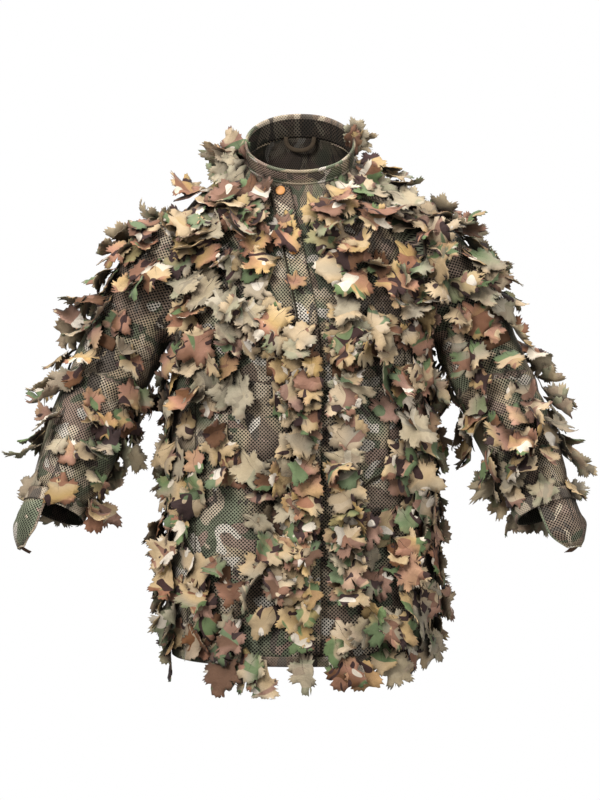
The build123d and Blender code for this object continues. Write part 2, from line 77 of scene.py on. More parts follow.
def catmull(keys, t):
    """Smooth values through the keys at parameter t, counted in keys."""
    keys = np.asarray(keys, float)
    n = len(keys)
    t = np.clip(np.atleast_1d(t), 0, n - 1 - 1e-9)
    i = np.floor(t).astype(int)
    f = (t - i)[:, None]
    k0, k1, k2, k3 = (keys[np.clip(i + d, 0, n - 1)] for d in (-1, 0, 1, 2))
    return 0.5 * (2 * k1 + (k2 - k0) * f + (2 * k0 - 5 * k1 + 4 * k2 - k3) * f ** 2 + (3 * k1 - k0 - 3 * k2 + k3) * f ** 3)


def section_points(row, m):
    cy, cz, tilt, a, b, n = row
    t = 2 * np.pi * np.arange(m) / m
    c, s = np.cos(t), np.sin(t)
    x = a * np.sign(c) * np.abs(c) ** (2 / n)
    v = b * np.sign(s) * np.abs(s) ** (2 / n)
    tt = math.radians(tilt)
    return np.stack([x, cy + v * math.cos(tt), cz + v * math.sin(tt)], 1)


def hash_noise(p, seed=0):
    """Smooth value noise from -1 to 1 at points p."""
    p = np.asarray(p, float)
    i = np.floor(p).astype(np.int64)
    f = p - i
    u = f * f * (3 - 2 * f)

    def h(dx, dy, dz):
        n = ((i[:, 0] + dx) * 374761393 + (i[:, 1] + dy) * 668265263 + (i[:, 2] + dz) * 1440662683 + seed * 97463477) & 0x7FFFFFFF
        n = ((n ^ (n >> 13)) * 1274126177) & 0x7FFFFFFF
        n = n ^ (n >> 16)
        return (n & 0xFFFF) / 32767.5 - 1

    res = 0
    for dx in (0, 1):
        wx = u[:, 0] if dx else 1 - u[:, 0]
        for dy in (0, 1):
            wy = u[:, 1] if dy else 1 - u[:, 1]
            for dz in (0, 1):
                wz = u[:, 2] if dz else 1 - u[:, 2]
                res = res + wx * wy * wz * h(dx, dy, dz)
    return res


def unit(v):
    v = np.asarray(v, float)
    return v / np.linalg.norm(v)


def placket_x(z):
    z = np.asarray(z, float)
    return np.where(z > -214, -30 + (z + 24) / -190.0 * 40, 10 + np.clip((-214 - z) / 60, 0, 1) * 6)


# sleeves
SL = {}
for side, s in (("left", 1), ("right", -1)):
    m = np.array([s, 1, 1])
    C1, E, W = m * (271, 2, -236), m * (320, 0, -339), m * (390, -85, -530)
    Y = np.array([0.0, 1, 0])
    d1 = unit(E - C1)
    n1 = unit(np.cross(Y, d1))
    n1 = n1 * (1 if n1[0] * s > 0 else -1)
    y1 = np.cross(d1, n1)
    y1 = y1 * (1 if y1[1] > 0 else -1)
    d2 = unit(W - E)
    n2 = unit(n1 - d2 * n1.dot(d2))
    y2 = np.cross(d2, n2)
    y2 = y2 * (1 if y2[1] > 0 else -1)
    SL[side] = dict(s=s, C1=C1, E=E, W=W, d1=d1, n1=n1, y1=y1, d2=d2, n2=n2, y2=y2, L1=np.linalg.norm(E - C1), L2=np.linalg.norm(W - E))


def sleeve_stations(k):
    s = k["s"]
    Y = np.array([0.0, 1, 0])

    def head(T, B, ry, cy):
        T, B = np.array([T[0] * s, 0, T[1]]), np.array([B[0] * s, 0, B[1]])
        return [(T + B) / 2 + (0, cy, 0), Y, unit(T - B), ry, np.linalg.norm(T - B) / 2]

    st = [head((150, -70), (150, -240), 60, -3), head((178, -50), (178, -257), 71, -3), head((233, -68), (189, -257), 77, -1), head((288, -125), (199, -257), 74, 0)]
    C1, E, W, d1, d2 = k["C1"], k["E"], k["W"], k["d1"], k["d2"]
    ea, eb = E - d1 * 58, E + d2 * 58
    nm = unit(k["n1"] + k["n2"])
    dm = unit(d1 + d2)
    nm = unit(nm - dm * nm.dot(dm))
    ym = np.cross(dm, nm)
    ym = ym * (1 if ym[1] > 0 else -1)
    cw = W - d2 * 20
    st += [[C1, k["y1"], k["n1"], 67, 67], [(C1 + ea) / 2, k["y1"], k["n1"], 66, 66], [ea, k["y1"], k["n1"], 65.5, 65.5], [E, ym, nm, 64, 64], [eb, k["y2"], k["n2"], 62.5, 62.5], [(eb + cw) / 2, k["y2"], k["n2"], 59, 59], [cw, k["y2"], k["n2"], 50, 50], [W, k["y2"], k["n2"], 49.4, 49.4], [W + d2 * 24, k["y2"], k["n2"], 49.4, 49.4]]
    return st


def grid_object(name, rings, closed_u=True, caps=False, thick=None):
    """Mesh from rows of points in mm."""
    rings = np.asarray(rings, float)
    r, n, _ = rings.shape
    verts = rings.reshape(-1, 3) * MM
    faces = []
    for i in range(r - 1):
        for j in range(n if closed_u else n - 1):
            k = (j + 1) % n
            faces.append((i * n + j, i * n + k, (i + 1) * n + k, (i + 1) * n + j))
    if caps:
        faces.append(tuple(reversed(range(n))))
        faces.append(tuple((r - 1) * n + j for j in range(n)))
    me = bpy.data.meshes.new(name)
    me.from_pydata([tuple(v) for v in verts], [], faces)
    me.validate()
    o = bpy.data.objects.new(name, me)
    bpy.context.scene.collection.objects.link(o)
    bm = bmesh.new()
    bm.from_mesh(me)
    bmesh.ops.recalc_face_normals(bm, faces=bm.faces)
    bm.to_mesh(me)
    bm.free()
    for p in me.polygons:
        p.use_smooth = True
    return o


def apply_all(o):
    dg = bpy.context.evaluated_depsgraph_get()
    me = bpy.data.meshes.new_from_object(o.evaluated_get(dg))
    old = o.data
    o.modifiers.clear()
    o.data = me
    bpy.data.meshes.remove(old)
    return o


def coords(me):
    a = np.empty(len(me.vertices) * 3, np.float32)
    me.vertices.foreach_get("co", a)
    return a.reshape(-1, 3).astype(float)


def set_coords(me, co):
    me.vertices.foreach_set("co", np.asarray(co, np.float32).ravel())
    me.update()


def normals(me):
    a = np.empty(len(me.vertices) * 3, np.float32)
    me.vertex_normals.foreach_get("vector", a)
    return a.reshape(-1, 3).astype(float)


# ------------------------------------------------------------------ materials
def srgb(r, g, b):
    f = lambda c: ((c / 255 + 0.055) / 1.055) ** 2.4 if c > 10 else c / 255 / 12.92
    return (f(r), f(g), f(b), 1)


class Nodes:
    """Short names for building a shader."""

    def __init__(self, tree):
        self.t = tree

    def new(self, kind, **props):
        n = self.t.nodes.new(kind)
        for k, v in props.items():
            setattr(n, k, v)
        return n

    def link(self, a, b):
        self.t.links.new(a, b)

    def val(self, sock, v):
        if hasattr(v, "is_linked") or isinstance(v, bpy.types.NodeSocket):
            self.link(v, sock)
        else:
            sock.default_value = v

    def math(self, op, a, b=0.0, c=0.0, clamp=False):
        n = self.new("ShaderNodeMath", operation=op, use_clamp=clamp)
        for s, v in zip(n.inputs, (a, b, c)):
            self.val(s, v)
        return n.outputs[0]

    def vmath(self, op, a, b=(0, 0, 0), scale=1.0):
        n = self.new("ShaderNodeVectorMath", operation=op)
        self.val(n.inputs[0], a)
        if op == "SCALE":
            self.val(n.inputs["Scale"], scale)
        else:
            self.val(n.inputs[1], b)
        return n.outputs[0]

    def noise(self, vec, scale, detail=2.0, rough=0.5, distortion=0.0):
        n = self.new("ShaderNodeTexNoise")
        self.val(n.inputs["Vector"], vec)
        n.inputs["Scale"].default_value = scale
        n.inputs["Detail"].default_value = detail
        n.inputs["Roughness"].default_value = rough
        n.inputs["Distortion"].default_value = distortion
        return n.outputs[0]

    def step(self, v, lo, hi):
        n = self.new("ShaderNodeMapRange", interpolation_type="SMOOTHSTEP")
        self.val(n.inputs["Value"], v)
        n.inputs["From Min"].default_value = lo
        n.inputs["From Max"].default_value = hi
        return n.outputs[0]

    def mix(self, fac, a, b, blend="MIX"):
        n = self.new("ShaderNodeMix", data_type="RGBA", blend_type=blend)
        self.val(n.inputs[0], fac)
        self.val(n.inputs[6], a)
        self.val(n.inputs[7], b)
        return n.outputs[2]

    def ramp(self, v, stops, mode="CONSTANT"):
        n = self.new("ShaderNodeValToRGB")
        n.color_ramp.interpolation = mode
        el = n.color_ramp.elements
        el[0].position, el[0].color = stops[0]
        el[1].position, el[1].color = stops[1]
        for p, c in stops[2:]:
            e = el.new(p)
            e.color = c
        self.val(n.inputs[0], v)
        return n.outputs[0]


TAN = srgb(196, 174, 143)
TAN_L = srgb(210, 191, 166)
PINK = srgb(184, 152, 138)
SAGE = srgb(120, 132, 104)
GREEN = srgb(70, 84, 60)
GREY = srgb(172, 162, 146)
BROWN = srgb(116, 92, 78)
DARK = srgb(70, 56, 54)
CREAM = srgb(232, 222, 208)


def camo_group(name, light):
    """Printed camouflage: Vector in metres of cloth to Color."""
    g = bpy.data.node_groups.new(name, "ShaderNodeTree")
    g.interface.new_socket("Vector", in_out="INPUT", socket_type="NodeSocketVector")
    g.interface.new_socket("Shift", in_out="INPUT", socket_type="NodeSocketFloat")
    g.interface.new_socket("Color", in_out="OUTPUT", socket_type="NodeSocketColor")
    b = Nodes(g)
    gi, go = b.new("NodeGroupInput"), b.new("NodeGroupOutput")
    vec, shift = gi.outputs[0], gi.outputs[1]
    stretched = b.vmath("MULTIPLY", vec, (1.0, 1.7, 1.0))
    base = b.math("ADD", b.noise(vec, 8.0, 1.0, 0.5, 0.3), b.math("MULTIPLY", shift, 0.34))
    if light:
        col = b.ramp(base, [(0.0, BROWN), (0.28, BROWN), (0.37, PINK), (0.46, TAN), (0.57, TAN_L), (0.65, GREY), (0.73, SAGE), (0.86, TAN)], "LINEAR")
    else:
        col = b.ramp(base, [(0.0, BROWN), (0.42, BROWN), (0.50, TAN), (0.60, SAGE), (0.70, GREEN), (0.82, TAN)], "LINEAR")
    shift2 = b.vmath("ADD", stretched, (3.1, 7.7, 1.3))
    m1 = b.step(b.noise(shift2, 13.0, 1.0, 0.45, 0.6), 0.595, 0.612)
    col = b.mix(m1, col, SAGE if light else GREEN)
    m2 = b.step(b.noise(b.vmath("ADD", stretched, (9.4, 1.2, 5.5)), 14.0, 1.0, 0.45, 0.8), 0.61, 0.625)
    col = b.mix(m2, col, b.mix(b.noise(vec, 30.0), BROWN, PINK))
    m3 = b.step(b.noise(b.vmath("ADD", vec, (5.2, 8.8, 2.5)), 17.0, 1.0, 0.4, 1.0), 0.62, 0.635)
    col = b.mix(m3, col, TAN_L)
    twig = b.vmath("MULTIPLY", b.vmath("ADD", vec, (2.2, 4.1, 7.3)), (1.6, 0.9, 1.0))
    m4 = b.step(b.noise(twig, 20.0, 1.0, 0.4, 1.4), 0.625, 0.638)
    col = b.mix(m4, col, DARK)
    m5 = b.step(b.noise(b.vmath("ADD", vec, (8.6, 3.3, 6.1)), 26.0, 0.5, 0.4, 0.6), 0.68, 0.69)
    col = b.mix(m5, col, CREAM)
    b.link(col, go.inputs[0])
    return g


CAMO_LEAF = camo_group("camo_leaf", True)
CAMO_MESH = camo_group("camo_mesh_print", False)


def material(name):
    m = bpy.data.materials.new(name)
    m.use_nodes = True
    t = m.node_tree
    t.nodes.clear()
    b = Nodes(t)
    out = b.new("ShaderNodeOutputMaterial")
    p = b.new("ShaderNodeBsdfPrincipled")
    b.link(p.outputs[0], out.inputs[0])
    p.inputs["Sheen Weight"].default_value = 0.0
    p.inputs["Specular IOR Level"].default_value = 0.25
    return m, b, p


def paint_gap_shade(b, col, dist, floor):
    """Paints shade into a colour where other cloth stands close by: painted shade from ambient occlusion, darkest in
    the gaps.
    """
    ao = b.new("ShaderNodeAmbientOcclusion", samples=6)
    ao.inputs["Distance"].default_value = dist
    f = b.math("POWER", ao.outputs["AO"], 1.5)
    f = b.math("ADD", b.math("MULTIPLY", f, 1 - floor), floor)
    dark = b.mix(1.0, col, srgb(70, 62, 52), "MULTIPLY")
    return b.mix(f, dark, col)


def leaf_material(name, back):
    m, b, p = material(name)
    uv = b.new("ShaderNodeUVMap", uv_map="cloth")
    at = b.new("ShaderNodeAttribute", attribute_name="leaf")
    sep = b.new("ShaderNodeSeparateColor")
    b.link(at.outputs["Color"], sep.inputs[0])
    off = b.vmath("SCALE", at.outputs["Color"], scale=23.0)
    vec = b.vmath("ADD", uv.outputs[0], off)
    g = b.new("ShaderNodeGroup", node_tree=CAMO_LEAF)
    b.link(vec, g.inputs[0])
    b.link(b.math("SUBTRACT", sep.outputs[0], 0.5), g.inputs[1])
    col = g.outputs[0]
    # lighter and darker leaves
    hsv = b.new("ShaderNodeHueSaturation")
    b.link(col, hsv.inputs["Color"])
    b.link(b.math("ADD", b.math("MULTIPLY", sep.outputs[1], 0.50), 0.72), hsv.inputs["Value"])
    b.link(b.math("ADD", b.math("MULTIPLY", sep.outputs[2], 0.36), 1.16), hsv.inputs["Saturation"])
    col = hsv.outputs[0]
    # the print is weaker on the back of the cloth
    rev = b.math("SUBTRACT", 1.0, at.outputs["Alpha"])
    pale = b.mix(b.noise(vec, 45.0, 3.0), srgb(156, 144, 120), srgb(196, 184, 158))
    col = b.mix(0.6 if back else b.math("MULTIPLY", rev, 0.74), col, pale)
    xy = b.new("ShaderNodeSeparateXYZ")
    b.link(uv.outputs[0], xy.inputs[0])
    ax = b.math("ABSOLUTE", b.math("ADD", xy.outputs[0], b.math("MULTIPLY", b.math("SINE", b.math("MULTIPLY", xy.outputs[1], 300.0)), 0.0007)))
    vein = b.math("MULTIPLY", b.math("SUBTRACT", 1.0, b.step(ax, 0.0004, 0.0011)), b.math("SUBTRACT", 1.0, b.step(xy.outputs[1], 0.018, 0.045)))
    dash = b.step(b.math("SINE", b.math("MULTIPLY", xy.outputs[1], 2600.0)), -0.4, 0.1)
    col = b.mix(b.math("MULTIPLY", vein, b.math("MULTIPLY", dash, 0.85)), col, srgb(48, 34, 28))
    # painted shade: the leaf colour darkened where other leaves and cloth stand close by
    b.link(paint_gap_shade(b, col, 0.030, 0.05), p.inputs["Base Color"])
    # weave and creases
    w1 = b.new("ShaderNodeTexWave", wave_type="BANDS", bands_direction="X")
    w2 = b.new("ShaderNodeTexWave", wave_type="BANDS", bands_direction="Y")
    for w in (w1, w2):
        b.link(uv.outputs[0], w.inputs[0])
        w.inputs["Scale"].default_value = 260.0
    weave = b.math("ADD", w1.outputs["Fac"], w2.outputs["Fac"])
    crease = b.noise(vec, 75.0, 4.0, 0.6, 1.2)
    bump1 = b.new("ShaderNodeBump")
    bump1.inputs["Strength"].default_value = 0.55
    bump1.inputs["Distance"].default_value = 0.004
    b.link(crease, bump1.inputs["Height"])
    bump2 = b.new("ShaderNodeBump")
    bump2.inputs["Strength"].default_value = 0.25
    bump2.inputs["Distance"].default_value = 0.0003
    b.link(weave, bump2.inputs["Height"])
    b.link(bump1.outputs[0], bump2.inputs["Normal"])
    b.link(bump2.outputs[0], p.inputs["Normal"])
    b.link(b.math("ADD", b.math("MULTIPLY", crease, 0.2), 0.68), p.inputs["Roughness"])
    p.inputs["Sheen Weight"].default_value = 0.08
    return m


def mesh_material(name, pitch=0.0040, hole=0.30, gain=1.0, tint=None):
    """Printed open mesh: camouflage on the threads, round holes between them painted near-black, as painted shade
    seen through the mesh.
    """
    m, b, p = material(name)
    uv = b.new("ShaderNodeUVMap", uv_map="cloth")
    g = b.new("ShaderNodeGroup", node_tree=CAMO_MESH)
    b.link(uv.outputs[0], g.inputs[0])
    g.inputs[1].default_value = 0.0
    mp = b.new("ShaderNodeMapping", vector_type="POINT")
    mp.inputs["Rotation"].default_value = (0, 0, math.radians(45))
    mp.inputs["Scale"].default_value = (1 / pitch, 1 / pitch, 1)
    b.link(uv.outputs[0], mp.inputs[0])
    vo = b.new("ShaderNodeTexVoronoi", voronoi_dimensions="2D", feature="F1")
    vo.inputs["Scale"].default_value = 1.0
    vo.inputs["Randomness"].default_value = 0.0
    b.link(mp.outputs[0], vo.inputs["Vector"])
    wob = b.noise(uv.outputs[0], 60.0, 2.0)
    d = b.math("ADD", vo.outputs["Distance"], b.math("MULTIPLY", b.math("SUBTRACT", wob, 0.5), 0.16))
    thread = b.step(d, hole, hole + 0.10)
    col = g.outputs[0]
    worn = b.noise(uv.outputs[0], 24.0, 4.0, 0.6)
    col = b.mix(b.math("MULTIPLY", worn, 0.35), col, srgb(214, 204, 180))
    if gain != 1.0:
        hsv = b.new("ShaderNodeHueSaturation")
        hsv.inputs["Value"].default_value = gain
        b.link(col, hsv.inputs["Color"])
        col = hsv.outputs[0]
    if tint:
        col = b.mix(0.6, col, tint)
    # the holes painted near-black: painted shade seen through the open mesh
    col = b.mix(thread, srgb(22, 19, 16), col)
    # painted shade: the mesh colour darkened where other cloth stands close by
    b.link(paint_gap_shade(b, col, 0.035, 0.16), p.inputs["Base Color"])
    bump = b.new("ShaderNodeBump")
    bump.inputs["Strength"].default_value = 0.8
    bump.inputs["Distance"].default_value = 0.0012
    b.link(b.math("ADD", thread, b.math("MULTIPLY", b.noise(uv.outputs[0], 900.0, 2.0), 0.25)), bump.inputs["Height"])
    b.link(bump.outputs[0], p.inputs["Normal"])
    p.inputs["Roughness"].default_value = 0.82
    return m


def tape_material(name, col_a, col_b, rib=420.0):
    """Woven webbing with ribs across it."""
    m, b, p = material(name)
    uv = b.new("ShaderNodeUVMap", uv_map="cloth")
    xy = b.new("ShaderNodeSeparateXYZ")
    b.link(uv.outputs[0], xy.inputs[0])
    ribs = b.math("SINE", b.math("MULTIPLY", xy.outputs[1], rib * 6.283))
    ribx = b.math("SINE", b.math("MULTIPLY", xy.outputs[0], rib * 6.283 * 0.7))
    weave = b.math("MULTIPLY", ribs, ribx)
    n = b.noise(uv.outputs[0], 55.0, 4.0, 0.65)
    col = b.mix(n, col_a, col_b)
    col = b.mix(b.math("MULTIPLY", b.math("ADD", weave, 1.0), 0.18), col, srgb(30, 22, 17))
    b.link(col, p.inputs["Base Color"])
    bump = b.new("ShaderNodeBump")
    bump.inputs["Strength"].default_value = 0.6
    bump.inputs["Distance"].default_value = 0.0006
    b.link(weave, bump.inputs["Height"])
    b.link(bump.outputs[0], p.inputs["Normal"])
    b.link(b.math("ADD", b.math("MULTIPLY", n, 0.2), 0.68), p.inputs["Roughness"])
    return m


def moulded_material(name, col_a, col_b, rough, metal=0.0):
    m, b, p = material(name)
    tc = b.new("ShaderNodeTexCoord")
    n = b.noise(tc.outputs["Object"], 260.0, 4.0, 0.6)
    big = b.noise(tc.outputs["Object"], 60.0, 2.0, 0.5)
    b.link(b.mix(big, col_a, col_b), p.inputs["Base Color"])
    p.inputs["Metallic"].default_value = metal
    p.inputs["Specular IOR Level"].default_value = 0.5
    b.link(b.math("ADD", b.math("MULTIPLY", n, 0.25), rough), p.inputs["Roughness"])
    bump = b.new("ShaderNodeBump")
    bump.inputs["Strength"].default_value = 0.25
    bump.inputs["Distance"].default_value = 0.0003
    b.link(n, bump.inputs["Height"])
    b.link(bump.outputs[0], p.inputs["Normal"])
    return m


M_LEAF = leaf_material("leaf_cloth", False)
M_LEAF_BACK = leaf_material("leaf_cloth_back", True)
M_MESH = mesh_material("camo_mesh")
M_EDGE = mesh_material("camo_binding", pitch=0.0032, hole=0.16, gain=0.9)
M_LINING = mesh_material("dark_mesh_lining", pitch=0.0040, hole=0.30, gain=0.42, tint=srgb(40, 34, 27))
M_BROWN = tape_material("brown_webbing", srgb(126, 92, 66), srgb(92, 62, 44))
M_TAN = tape_material("tan_tape", srgb(184, 164, 122), srgb(150, 132, 96))
M_LOOP = tape_material("dark_webbing", srgb(84, 70, 52), srgb(56, 46, 36))
M_SEAM = tape_material("dark_seam", srgb(66, 58, 42), srgb(38, 32, 25), rib=700.0)
M_CAP = moulded_material("snap_cap", srgb(222, 158, 88), srgb(196, 128, 62), 0.38)
M_METAL = moulded_material("snap_metal", srgb(150, 122, 76), srgb(110, 88, 54), 0.3, metal=1.0)


# ------------------------------------------------------------------ cloth
def sleeve_coord(p, k):
    """(distance along the sleeve from the upper rim, radial vector) of points in mm."""
    s1 = (p - k["C1"]) @ k["d1"]
    s2 = (p - k["E"]) @ k["d2"]
    fore = s2 > 0
    axis = np.where(fore[:, None], k["E"] + s2[:, None] * k["d2"], k["C1"] + s1[:, None] * k["d1"])
    along = np.where(fore, k["L1"] + s2, s1)
    return along, p - axis


def is_sleeve(p, s):
    x, z = p[:, 0] * s, p[:, 2]
    return x > np.where(z > -262, 199.0, 206.0 + (-262 - z) * 0.25)


def canonical(o):
    """Vertices and faces put in an order set by their positions, so that each run is the same."""
    me = o.data
    co = coords(me)
    order = np.lexsort((co[:, 2], co[:, 1], co[:, 0]))
    back = np.empty(len(order), int)
    back[order] = np.arange(len(order))
    faces = []
    for p in me.polygons:
        f = [int(back[v]) for v in p.vertices]
        i = f.index(min(f))
        faces.append(tuple(f[i:] + f[:i]))
    faces.sort()
    new = bpy.data.meshes.new(me.name)
    new.from_pydata([tuple(v) for v in co[order]], [], faces)
    for p in new.polygons:
        p.use_smooth = True
    o.data = new
    bpy.data.meshes.remove(me)


def build_cloth():
    t = np.linspace(0, len(ROWS) - 1, 84)
    rows = catmull(ROWS, t)
    torso = grid_object("tmp_torso", [section_points(r, 120) for r in rows], caps=True)
    parts = [torso]
    for side, k in SL.items():
        st = sleeve_stations(k)
        keys = np.array([np.concatenate([c, a, b, [r1, r2]]) for c, a, b, r1, r2 in st])
        vals = catmull(keys, np.linspace(0, len(st) - 1, 80))
        rings = []
        for v in vals:
            c, a, b = v[0:3], unit(v[3:6]), v[6:9]
            b = unit(b - a * b.dot(a))
            th = 2 * np.pi * np.arange(56) / 56
            rings.append(c + np.outer(np.cos(th) * v[9], a) + np.outer(np.sin(th) * v[10], b))
        parts.append(grid_object("tmp_sleeve_" + side, rings, caps=True))
    bm = bmesh.new()
    for o in parts:
        bm.from_mesh(o.data)
    me = bpy.data.meshes.new("tmp_union")
    bm.to_mesh(me)
    bm.free()
    for o in parts:
        bpy.data.objects.remove(o)
    o = bpy.data.objects.new("tmp_union", me)
    bpy.context.scene.collection.objects.link(o)
    md = o.modifiers.new("r", "REMESH")
    md.mode = "VOXEL"
    md.voxel_size = 0.0055
    md.use_smooth_shade = True
    apply_all(o)
    canonical(o)
    sm = o.modifiers.new("s", "SMOOTH")
    sm.factor = 0.5
    sm.iterations = 8
    apply_all(o)
    # open the neck, the hem and the cuffs
    bm = bmesh.new()
    bm.from_mesh(o.data)

    def trim(co, no):
        geom = bm.verts[:] + bm.edges[:] + bm.faces[:]
        bmesh.ops.bisect_plane(bm, geom=geom, dist=1e-6, plane_co=Vector(co) * MM, plane_no=Vector(no), clear_outer=True)

    trim((0, 0, HEM_Z), (0, 0, -1))
    trim(C0, NC)
    for side, k in SL.items():
        # only the sleeve's own faces reach past its end plane on this side of the body
        W, d2 = k["W"], k["d2"]
        bm.verts.index_update()
        bm.faces.index_update()
        near = [v for v in bm.verts if (Vector(v.co) - Vector(W) * MM).length < 0.11]
        faces = sorted({f for v in near for f in v.link_faces}, key=lambda q: q.index)
        edges = list(dict.fromkeys(e for f in faces for e in f.edges))
        vs = list(dict.fromkeys(v for f in faces for v in f.verts))
        bmesh.ops.bisect_plane(bm, geom=list(vs) + list(edges) + list(faces), dist=1e-6, plane_co=Vector(W) * MM, plane_no=Vector(d2), clear_outer=True)
    bm.to_mesh(o.data)
    bm.free()
    canonical(o)
    return o


cloth = build_cloth()
co = coords(cloth.data) / MM
nr = normals(cloth.data)
# folds: soft all over, stronger at elbow and armpit, and none under the front closure
amp = np.full(len(co), 2.6)
sl_mask = {side: is_sleeve(co, k["s"]) for side, k in SL.items()}
disp = 1.0 * hash_noise(co * (1 / 60.0, 1 / 60.0, 1 / 95.0), 3) + 0.5 * hash_noise(co * (1 / 24.0, 1 / 24.0, 1 / 42.0), 5)
for side, k in SL.items():
    along, rv = sleeve_coord(co, k)
    mk = sl_mask[side]
    fold = np.sin(along / 8.5 + 1.6 * hash_noise(co / 45.0, 9)) * np.exp(-((along - k["L1"]) / 62.0) ** 2)
    inner = np.clip((-(rv @ k["y1"])) / 64.0, -0.2, 1)
    disp = disp + np.where(mk, fold * (0.5 + inner) * 1.15, 0)
    cuff = np.exp(-((along - (k["L1"] + k["L2"] - 26)) / 16.0) ** 2)
    disp = disp - np.where(mk, cuff * 0.9, 0)
    pit = np.exp(-(((co - np.array([203 * k["s"], 0, -262])) / (55, 75, 60)) ** 2).sum(1))
    disp = disp + pit * 1.3 * np.sin(co[:, 2] / 7.0 + co[:, 1] / 16.0)
front = co[:, 1] < -20
band = np.exp(-((co[:, 0] - placket_x(co[:, 2])) / 34.0) ** 4) * front
edge = np.clip((co[:, 2] - HEM_Z) / 20.0, 0, 1)
neck = np.clip(((C0 - co) @ NC) / 25.0, 0, 1)
disp = disp * amp * (1 - band) * edge * neck
co2 = co + nr * disp[:, None]
set_coords(cloth.data, co2 * MM)

# flat cloth coordinates, in metres
ARC_T = np.linspace(-np.pi, np.pi, 721)
_sec = section_points((-8.5, -400, 0, 208, 130, 2.35), 1440)
_ang = np.unwrap(np.arctan2(_sec[:, 1] + 8.5, _sec[:, 0]))
_len = np.concatenate([[0], np.cumsum(np.linalg.norm(np.diff(_sec, axis=0), axis=1))])
PERIOD = _len[-1] + np.linalg.norm(_sec[0] - _sec[-1])


def cloth_uv(p):
    """(u, v, period) in mm for points in mm."""
    ang = np.arctan2(p[:, 1] + 8.5, p[:, 0])
    ang = np.where(ang < 0, ang + 2 * np.pi, ang)
    u = np.interp(ang, _ang, _len)
    v = p[:, 2] + 0.0
    per = np.full(len(p), PERIOD)
    for side, k in SL.items():
        mk = is_sleeve(p, k["s"])
        along, rv = sleeve_coord(p, k)
        a = np.arctan2(rv @ k["y1"], rv @ k["n1"])
        u = np.where(mk, a * 62 + 3000 * k["s"], u)
        v = np.where(mk, along, v)
        per = np.where(mk, 2 * np.pi * 62, per)
    return u, v, per


def write_uv(me, p, u=None, v=None, per=None):
    """Stores flat coordinates as the cloth UV map, kept whole across the wrap."""
    if u is None:
        u, v, per = cloth_uv(p)
    if per is None:
        per = np.full(len(p), 1e9)
    nl = len(me.loops)
    vi = np.empty(nl, np.int32)
    me.loops.foreach_get("vertex_index", vi)
    start = np.empty(len(me.polygons), np.int32)
    total = np.empty(len(me.polygons), np.int32)
    me.polygons.foreach_get("loop_start", start)
    me.polygons.foreach_get("loop_total", total)
    first = np.repeat(start, total)
    lu, lv, lp = u[vi], v[vi], per[vi]
    lu = lu + lp * np.round((lu[first] - lu) / lp)
    # a face across the torso and the sleeve takes its first corner's map
    jump = np.abs(lu - lu[first]) > 400
    lu = np.where(jump, lu[first], lu)
    uvl = me.uv_layers.get("cloth") or me.uv_layers.new(name="cloth")
    uvl.data.foreach_set("uv", np.stack([lu, lv], 1).astype(np.float32).ravel() * 0.001)


def submesh(src, keep_poly, name):
    """New object with the chosen faces of src."""
    bm = bmesh.new()
    bm.from_mesh(src.data)
    bm.faces.ensure_lookup_table()
    bmesh.ops.delete(bm, geom=[f for f in bm.faces if not keep_poly[f.index]], context="FACES")
    me = bpy.data.meshes.new(name)
    bm.to_mesh(me)
    bm.free()
    for p in me.polygons:
        p.use_smooth = True
    o = bpy.data.objects.new(name, me)
    bpy.context.scene.collection.objects.link(o)
    return o


write_uv(cloth.data, coords(cloth.data) / MM)
centers = np.empty(len(cloth.data.polygons) * 3, np.float32)
cloth.data.polygons.foreach_get("center", centers)
centers = centers.reshape(-1, 3) / MM
pnorm = np.empty(len(cloth.data.polygons) * 3, np.float32)
cloth.data.polygons.foreach_get("normal", pnorm)
pnorm = pnorm.reshape(-1, 3).astype(float)
parea = np.empty(len(cloth.data.polygons), np.float32)
cloth.data.polygons.foreach_get("area", parea)

SPLIT = 44.0        # along the sleeve from its upper rim, where the shoulder piece meets the forearm piece
BVH = BVHTree.FromPolygons([tuple(v) for v in coords(cloth.data)], [tuple(p.vertices) for p in cloth.data.polygons])


def region_of(p):
    """Name of the cloth piece that a point in mm belongs to."""
    reg = np.full(len(p), "torso", dtype=object)
    for side, k in SL.items():
        mk = is_sleeve(p, k["s"])
        along, _ = sleeve_coord(p, k)
        reg[mk & (along <= SPLIT)] = "shoulder_" + side
        reg[mk & (along > SPLIT)] = "forearm_" + side
    return reg


def hang(o, reg):
    """Attaches a torso piece to the torso body; a sleeve piece only has its transform baked into its mesh."""
    if reg == "torso":
        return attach(o, "torso")
    kind, side = reg.split("_")
    if kind == "shoulder":
        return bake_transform(o)
    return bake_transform(o)


REG = region_of(centers)
for reg in ("torso", "shoulder_left", "shoulder_right", "forearm_left", "forearm_right"):
    o = submesh(cloth, REG == reg, "cloth_" + reg)
    o.data.materials.append(M_MESH)
    o.data.materials.append(M_LINING)
    sd = o.modifiers.new("cloth", "SOLIDIFY")
    sd.thickness = 0.0014
    sd.offset = -1
    sd.material_offset = 1
    sd.material_offset_rim = 0
    hang(o, reg)
    if reg == "torso":
        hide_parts("front_panel_left", "front_panel_right", "back_panel", "side_panel_left", "side_panel_right", "shoulder_yoke_back", "shoulder_yoke_front_left", "shoulder_yoke_front_right")
    elif reg.startswith("shoulder"):
        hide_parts("sleeve_head_" + reg[9:], "upper_sleeve_" + reg[9:])
    else:
        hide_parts("elbow_" + reg[8:], "forearm_sleeve_" + reg[8:])
bpy.data.objects.remove(cloth)


def cast(origin, direction):
    h = BVH.ray_cast(Vector(origin) * MM, Vector(direction))
    if h[0] is None:
        return None
    n = np.array(h[1])
    if n.dot(np.array(direction)) > 0:
        n = -n
    return np.array(h[0]) / MM, n


def on_front(x, z, back=False):
    """Point and outward normal on the cloth at x, z, seen from the front or the back."""
    return cast((x, 400 if back else -400, z), (0, -1 if back else 1, 0))


